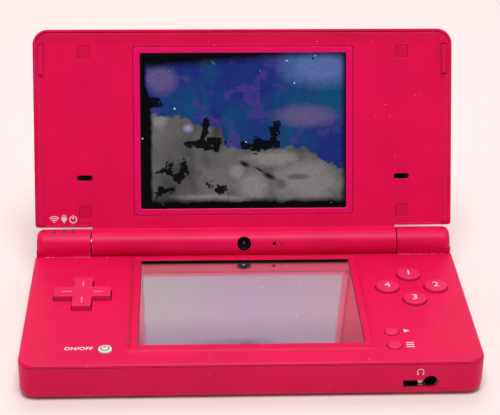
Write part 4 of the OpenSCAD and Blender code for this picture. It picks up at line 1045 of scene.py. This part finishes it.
# Places of the marks, in millimetres
LIGHT_SIGNS_ALONG = 8.15
LIGHT_SIGNS_THROUGH = -0.1
BUMPER_MIDDLE = (66.0, 60.35, -1.0)
HEADPHONE_SIGN_X = 49.2
HEADPHONE_SIGN_Z = 8.3
MICROPHONE_SIGN_X = 12.2
CRACK_X = 36.9
CRACK_Y = -34.05
GROOVE_SHADE_OUT = 0.45
DIRT_X = 55.3
DIRT_IN_FRONT = 0.5
DIRT_FLAKES = 44


def control_marks():
    """Plain figures on the round buttons, and signs on and beside the other controls."""
    figures = {"1": "top", "2": "right", "3": "bottom", "4": "left"}
    for figure, place in figures.items():
        node = f"face_button_{place}"
        print_on(f"figure_{figure}", text_shapes(figure, 4.0), node_middle(node), Y_AXIS,
                 node, f"button_{place}", white_ink)
    power_sign = [stroke(arc((0, 0), 1.2, 122, 418), 0.4), stroke([(0, 0.35), (0, 1.5)], 0.4)]
    print_on("power_cap_sign", power_sign, node_middle("power_button"), Y_AXIS,
             "power_button", "power", grey_ink)
    across = bar(-1.52, -0.18, 1.52, 0.18)
    upright = bar(-0.18, -1.52, 0.18, 1.52)
    arms = {"left": (-X_AXIS, across), "right": (X_AXIS, across), "rear": (Y_AXIS, upright),
            "front": (-Y_AXIS, upright)}
    for side, (way, line) in arms.items():
        print_on(f"pad_line_{side}", [line], node_middle("dpad") + way * (5 * MM), Y_AXIS,
                 "dpad", "dpad", pale_ink)
    play = [[(-0.7, -0.95), (1.0, 0), (-0.7, 0.95)]]
    menu = [bar(-1.2, y - 0.22, 1.2, y + 0.22) for y in (-1.15, 0, 1.15)]
    words = text_shapes("ON/OFF", 2.2, bold=0.06, spacing=1.08)
    beside = (("on_off_words", words, "power_button", -7.8, 0.4),
              ("start_sign", play, "start_button", 4.5, 0.35),
              ("select_sign", menu, "select_button", 4.7, 0.25))
    for name, shapes, control, to_right, to_rear in beside:
        middle = node_middle(control)
        print_on_deck(name, shapes, middle.x + to_right * MM, middle.y + to_rear * MM, white_ink)


def pictograms():
    """Standard signs beside the lights and over the headphone jack."""
    waves = [disc((0, -1.0), 0.22)] + [stroke(arc((0, -1.05), r, 42, 138), 0.28) for r in (0.72, 1.36, 2.0)]
    plug = [stroke([(-0.36, 0.6), (-0.36, 1.3)], 0.3), stroke([(0.36, 0.6), (0.36, 1.3)], 0.3),
            [(-0.85, 0.75), (-0.85, -0.2), (-0.25, -0.9), (0.25, -0.9), (0.85, -0.2), (0.85, 0.75)],
            stroke([(0, -0.8), (0, -1.25)], 0.3)]
    power = [stroke(arc((0, -0.12), 1.1, 125, 415), 0.36), stroke([(0, 0.1), (0, 1.2)], 0.36)]
    signs = (("wireless_sign", waves, -62.4), ("charge_sign", plug, -59.2), ("power_sign", power, -56.2))
    for name, shapes, x in signs:
        print_on_lid(name, shapes, lid_point(x, LIGHT_SIGNS_ALONG, LIGHT_SIGNS_THROUGH), white_ink)
    phones = [stroke(arc((0, 0.2), 0.95, -25, 205), 0.24), stroke([(-0.82, -0.1), (-0.8, -0.7)], 0.46),
              stroke([(0.82, -0.1), (0.8, -0.7)], 0.46)]
    centre = Vector((HEADPHONE_SIGN_X * MM, front_y, HEADPHONE_SIGN_Z * MM))
    print_on("headphone_sign", phones, centre, Z_AXIS, "base_lower_case", "base", white_ink)


def crack_painted_shade_and_dirt():
    """The crack in the deck, a painted shade strip beside the frame's left groove, painted shade in the gaps
    round the bumpers, and dirt at the hinge covers.
    """
    crack = stroke([(0.05, 2.1), (-0.08, 0.9), (0.06, -0.4), (-0.04, -2.1)], 0.14)
    print_on_deck("hairline_crack", [crack], CRACK_X * MM, CRACK_Y * MM, dark_ink_and_shade)
    # A painted shade strip on the deck beside the frame's left groove.
    shade = bar(-0.24, -26.3, 0.24, 26.8)
    print_on_deck("frame_groove_shade", [shade], frame_low.x - GROOVE_SHADE_OUT * MM,
                  (frame_low.y + frame_high.y) / 2, dark_ink_and_shade)
    # Dark lines round the bumpers: painted shade in the gaps.
    gap = [bar(-1.0, -5.1, -0.78, 5.1), bar(0.78, -5.1, 1.0, 5.1), bar(-0.78, 4.86, 0.78, 5.1),
           bar(-0.78, -5.1, 0.78, -4.86)]
    x, along, through = BUMPER_MIDDLE
    for side, sign in SIDES:
        print_on_lid(f"bumper_gap_painted_shade_{side}", gap, lid_point(sign * x, along, through), dark_ink_and_shade)
    dirt = random.Random(5)
    rear_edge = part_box("hinge_cover_left")[0].y
    for side, sign in SIDES:
        flakes = []
        for _ in range(DIRT_FLAKES):
            middle = (sign * (dirt.random() ** 1.5 * 15.0 - 4.5), dirt.uniform(-0.05, 0.16))
            flakes.append(disc(middle, dirt.uniform(0.05, 0.17)))
        print_on_deck(f"seam_dirt_{side}", flakes, sign * DIRT_X * MM, rear_edge - DIRT_IN_FRONT * MM,
                      seam_dirt)


def microphone_mark():
    """A small microphone sign beside the hole in the barrel."""
    voice = [stroke([(0, -0.1), (0, 0.65)], 0.5), stroke(arc((0, 0.05), 0.55, 195, 345), 0.16),
             stroke([(0, -0.5), (0, -0.85)], 0.16), stroke([(-0.35, -0.85), (0.35, -0.85)], 0.16)]
    print_on_lid("microphone_sign", voice, lid_point(MICROPHONE_SIGN_X, 0, 0), dark_ink_and_shade)


control_marks()
pictograms()
crack_painted_shade_and_dirt()
microphone_mark()


# Floor, light and camera

SOFT_IN_FRONT = 0.16
SOFT_BEHIND = 0.5
MIRRORED_IN_FRONT = 0.1
MIRRORED_BEHIND = 1.0
FLOOR_DEPTH = 0.05 * MM
LIT_POINT = Vector((0, 0.02, 0.04))


def floor():
    material, tree, shader = start_material("pale_floor")
    where = place_in(tree)
    tone = mixed(tree, noise(tree, where, 4.0, 2.0), colour(0.84, 0.735, 0.725), colour(0.87, 0.765, 0.755))
    # Darker towards the camera: painted shade on the floor that evens out how the softboxes fall off.
    painted_near_shade = spread(tree, axes_of(tree, where)["Y"], 0.25, -0.15)
    feed(shader, {
        "Base Color": mixed(tree, painted_near_shade, tone, colour(0.755, 0.69, 0.68)),
        "Roughness": 0.7,
        "Specular IOR Level": 0.1})
    bpy.ops.mesh.primitive_plane_add(size=8)
    ground = bpy.context.object
    ground.name = "floor"
    ground.location.z = -FLOOR_DEPTH
    ground.data.materials.append(material)


def world():
    """Soft light from above and behind; the room on the camera's side is dark."""
    surroundings = bpy.data.worlds.new("studio")
    surroundings.use_nodes = True
    tree = surroundings.node_tree
    tree.nodes.clear()
    path = put(tree, "ShaderNodeLightPath").outputs
    seen = sums(tree, "MAXIMUM", path["Is Camera Ray"], path["Is Transmission Ray"])
    depth = axes_of(tree, put(tree, "ShaderNodeTexCoord").outputs["Generated"])["Y"]

    def light(tint, level):
        return put(tree, "ShaderNodeBackground", {"Color": tint, "Strength": level}).outputs[0]

    def chosen(share, first, second):
        return put(tree, "ShaderNodeMixShader", {0: share, 1: first, 2: second}).outputs[0]

    soft = light(colour(1, 0.97, 0.96), spread(tree, depth, -0.5, 0.5, SOFT_IN_FRONT, SOFT_BEHIND))
    mirrored_level = spread(tree, depth, -0.5, 0.5, MIRRORED_IN_FRONT, MIRRORED_BEHIND)
    mirrored = light(colour(0.98, 0.92, 0.9), mirrored_level)
    backdrop = light(colour(0.98, 0.9, 0.88), 1.0)
    surface = chosen(seen, chosen(path["Is Glossy Ray"], soft, mirrored), backdrop)
    put(tree, "ShaderNodeOutputWorld", {"Surface": surface})
    bpy.context.scene.world = surroundings


def softbox(name, azimuth, height, distance, size, power):
    """A square area light aimed at the object; azimuth 0 is over the camera's side."""
    turn, lift = math.radians(azimuth), math.radians(height)
    away = Vector((math.sin(turn) * math.cos(lift), -math.cos(turn) * math.cos(lift), math.sin(lift)))
    light = bpy.data.lights.new(name, "AREA")
    light.size = size
    light.energy = power
    lamp = bpy.data.objects.new(name, light)
    lamp.location = LIT_POINT + away * distance
    lamp.rotation_mode = "QUATERNION"
    lamp.rotation_quaternion = (-away).to_track_quat("-Z", "Y")
    bpy.context.scene.collection.objects.link(lamp)


def camera():
    """The photograph's view, 459 mm from the object."""
    yaw, down, roll = math.radians(2.72), math.radians(27.19), math.radians(0.78)
    look = Vector((math.sin(yaw) * math.cos(down), math.cos(yaw) * math.cos(down), -math.sin(down)))
    lens = bpy.data.cameras.new("photograph_view")
    lens.sensor_width = 36
    lens.lens = 109.15
    view = bpy.data.objects.new("photograph_view", lens)
    view.location = Vector((-19.13, -407.98, 253.66)) * MM
    view.rotation_mode = "QUATERNION"
    view.rotation_quaternion = look.to_track_quat("-Z", "Y") @ Matrix.Rotation(roll, 3, "Z").to_quaternion()
    bpy.context.scene.collection.objects.link(view)
    bpy.context.scene.camera = view


floor()
world()
softbox("overhead_softbox", azimuth=0, height=72.5, distance=1.2, size=0.55, power=12.0)
softbox("left_softbox", azimuth=-55, height=25, distance=1.3, size=0.8, power=1.0)
softbox("right_softbox", azimuth=55, height=25, distance=1.3, size=0.8, power=1.0)
softbox("rear_softbox", azimuth=180, height=62, distance=1.3, size=0.7, power=4.4)
camera()
bpy.context.scene.view_settings.view_transform = "Standard"
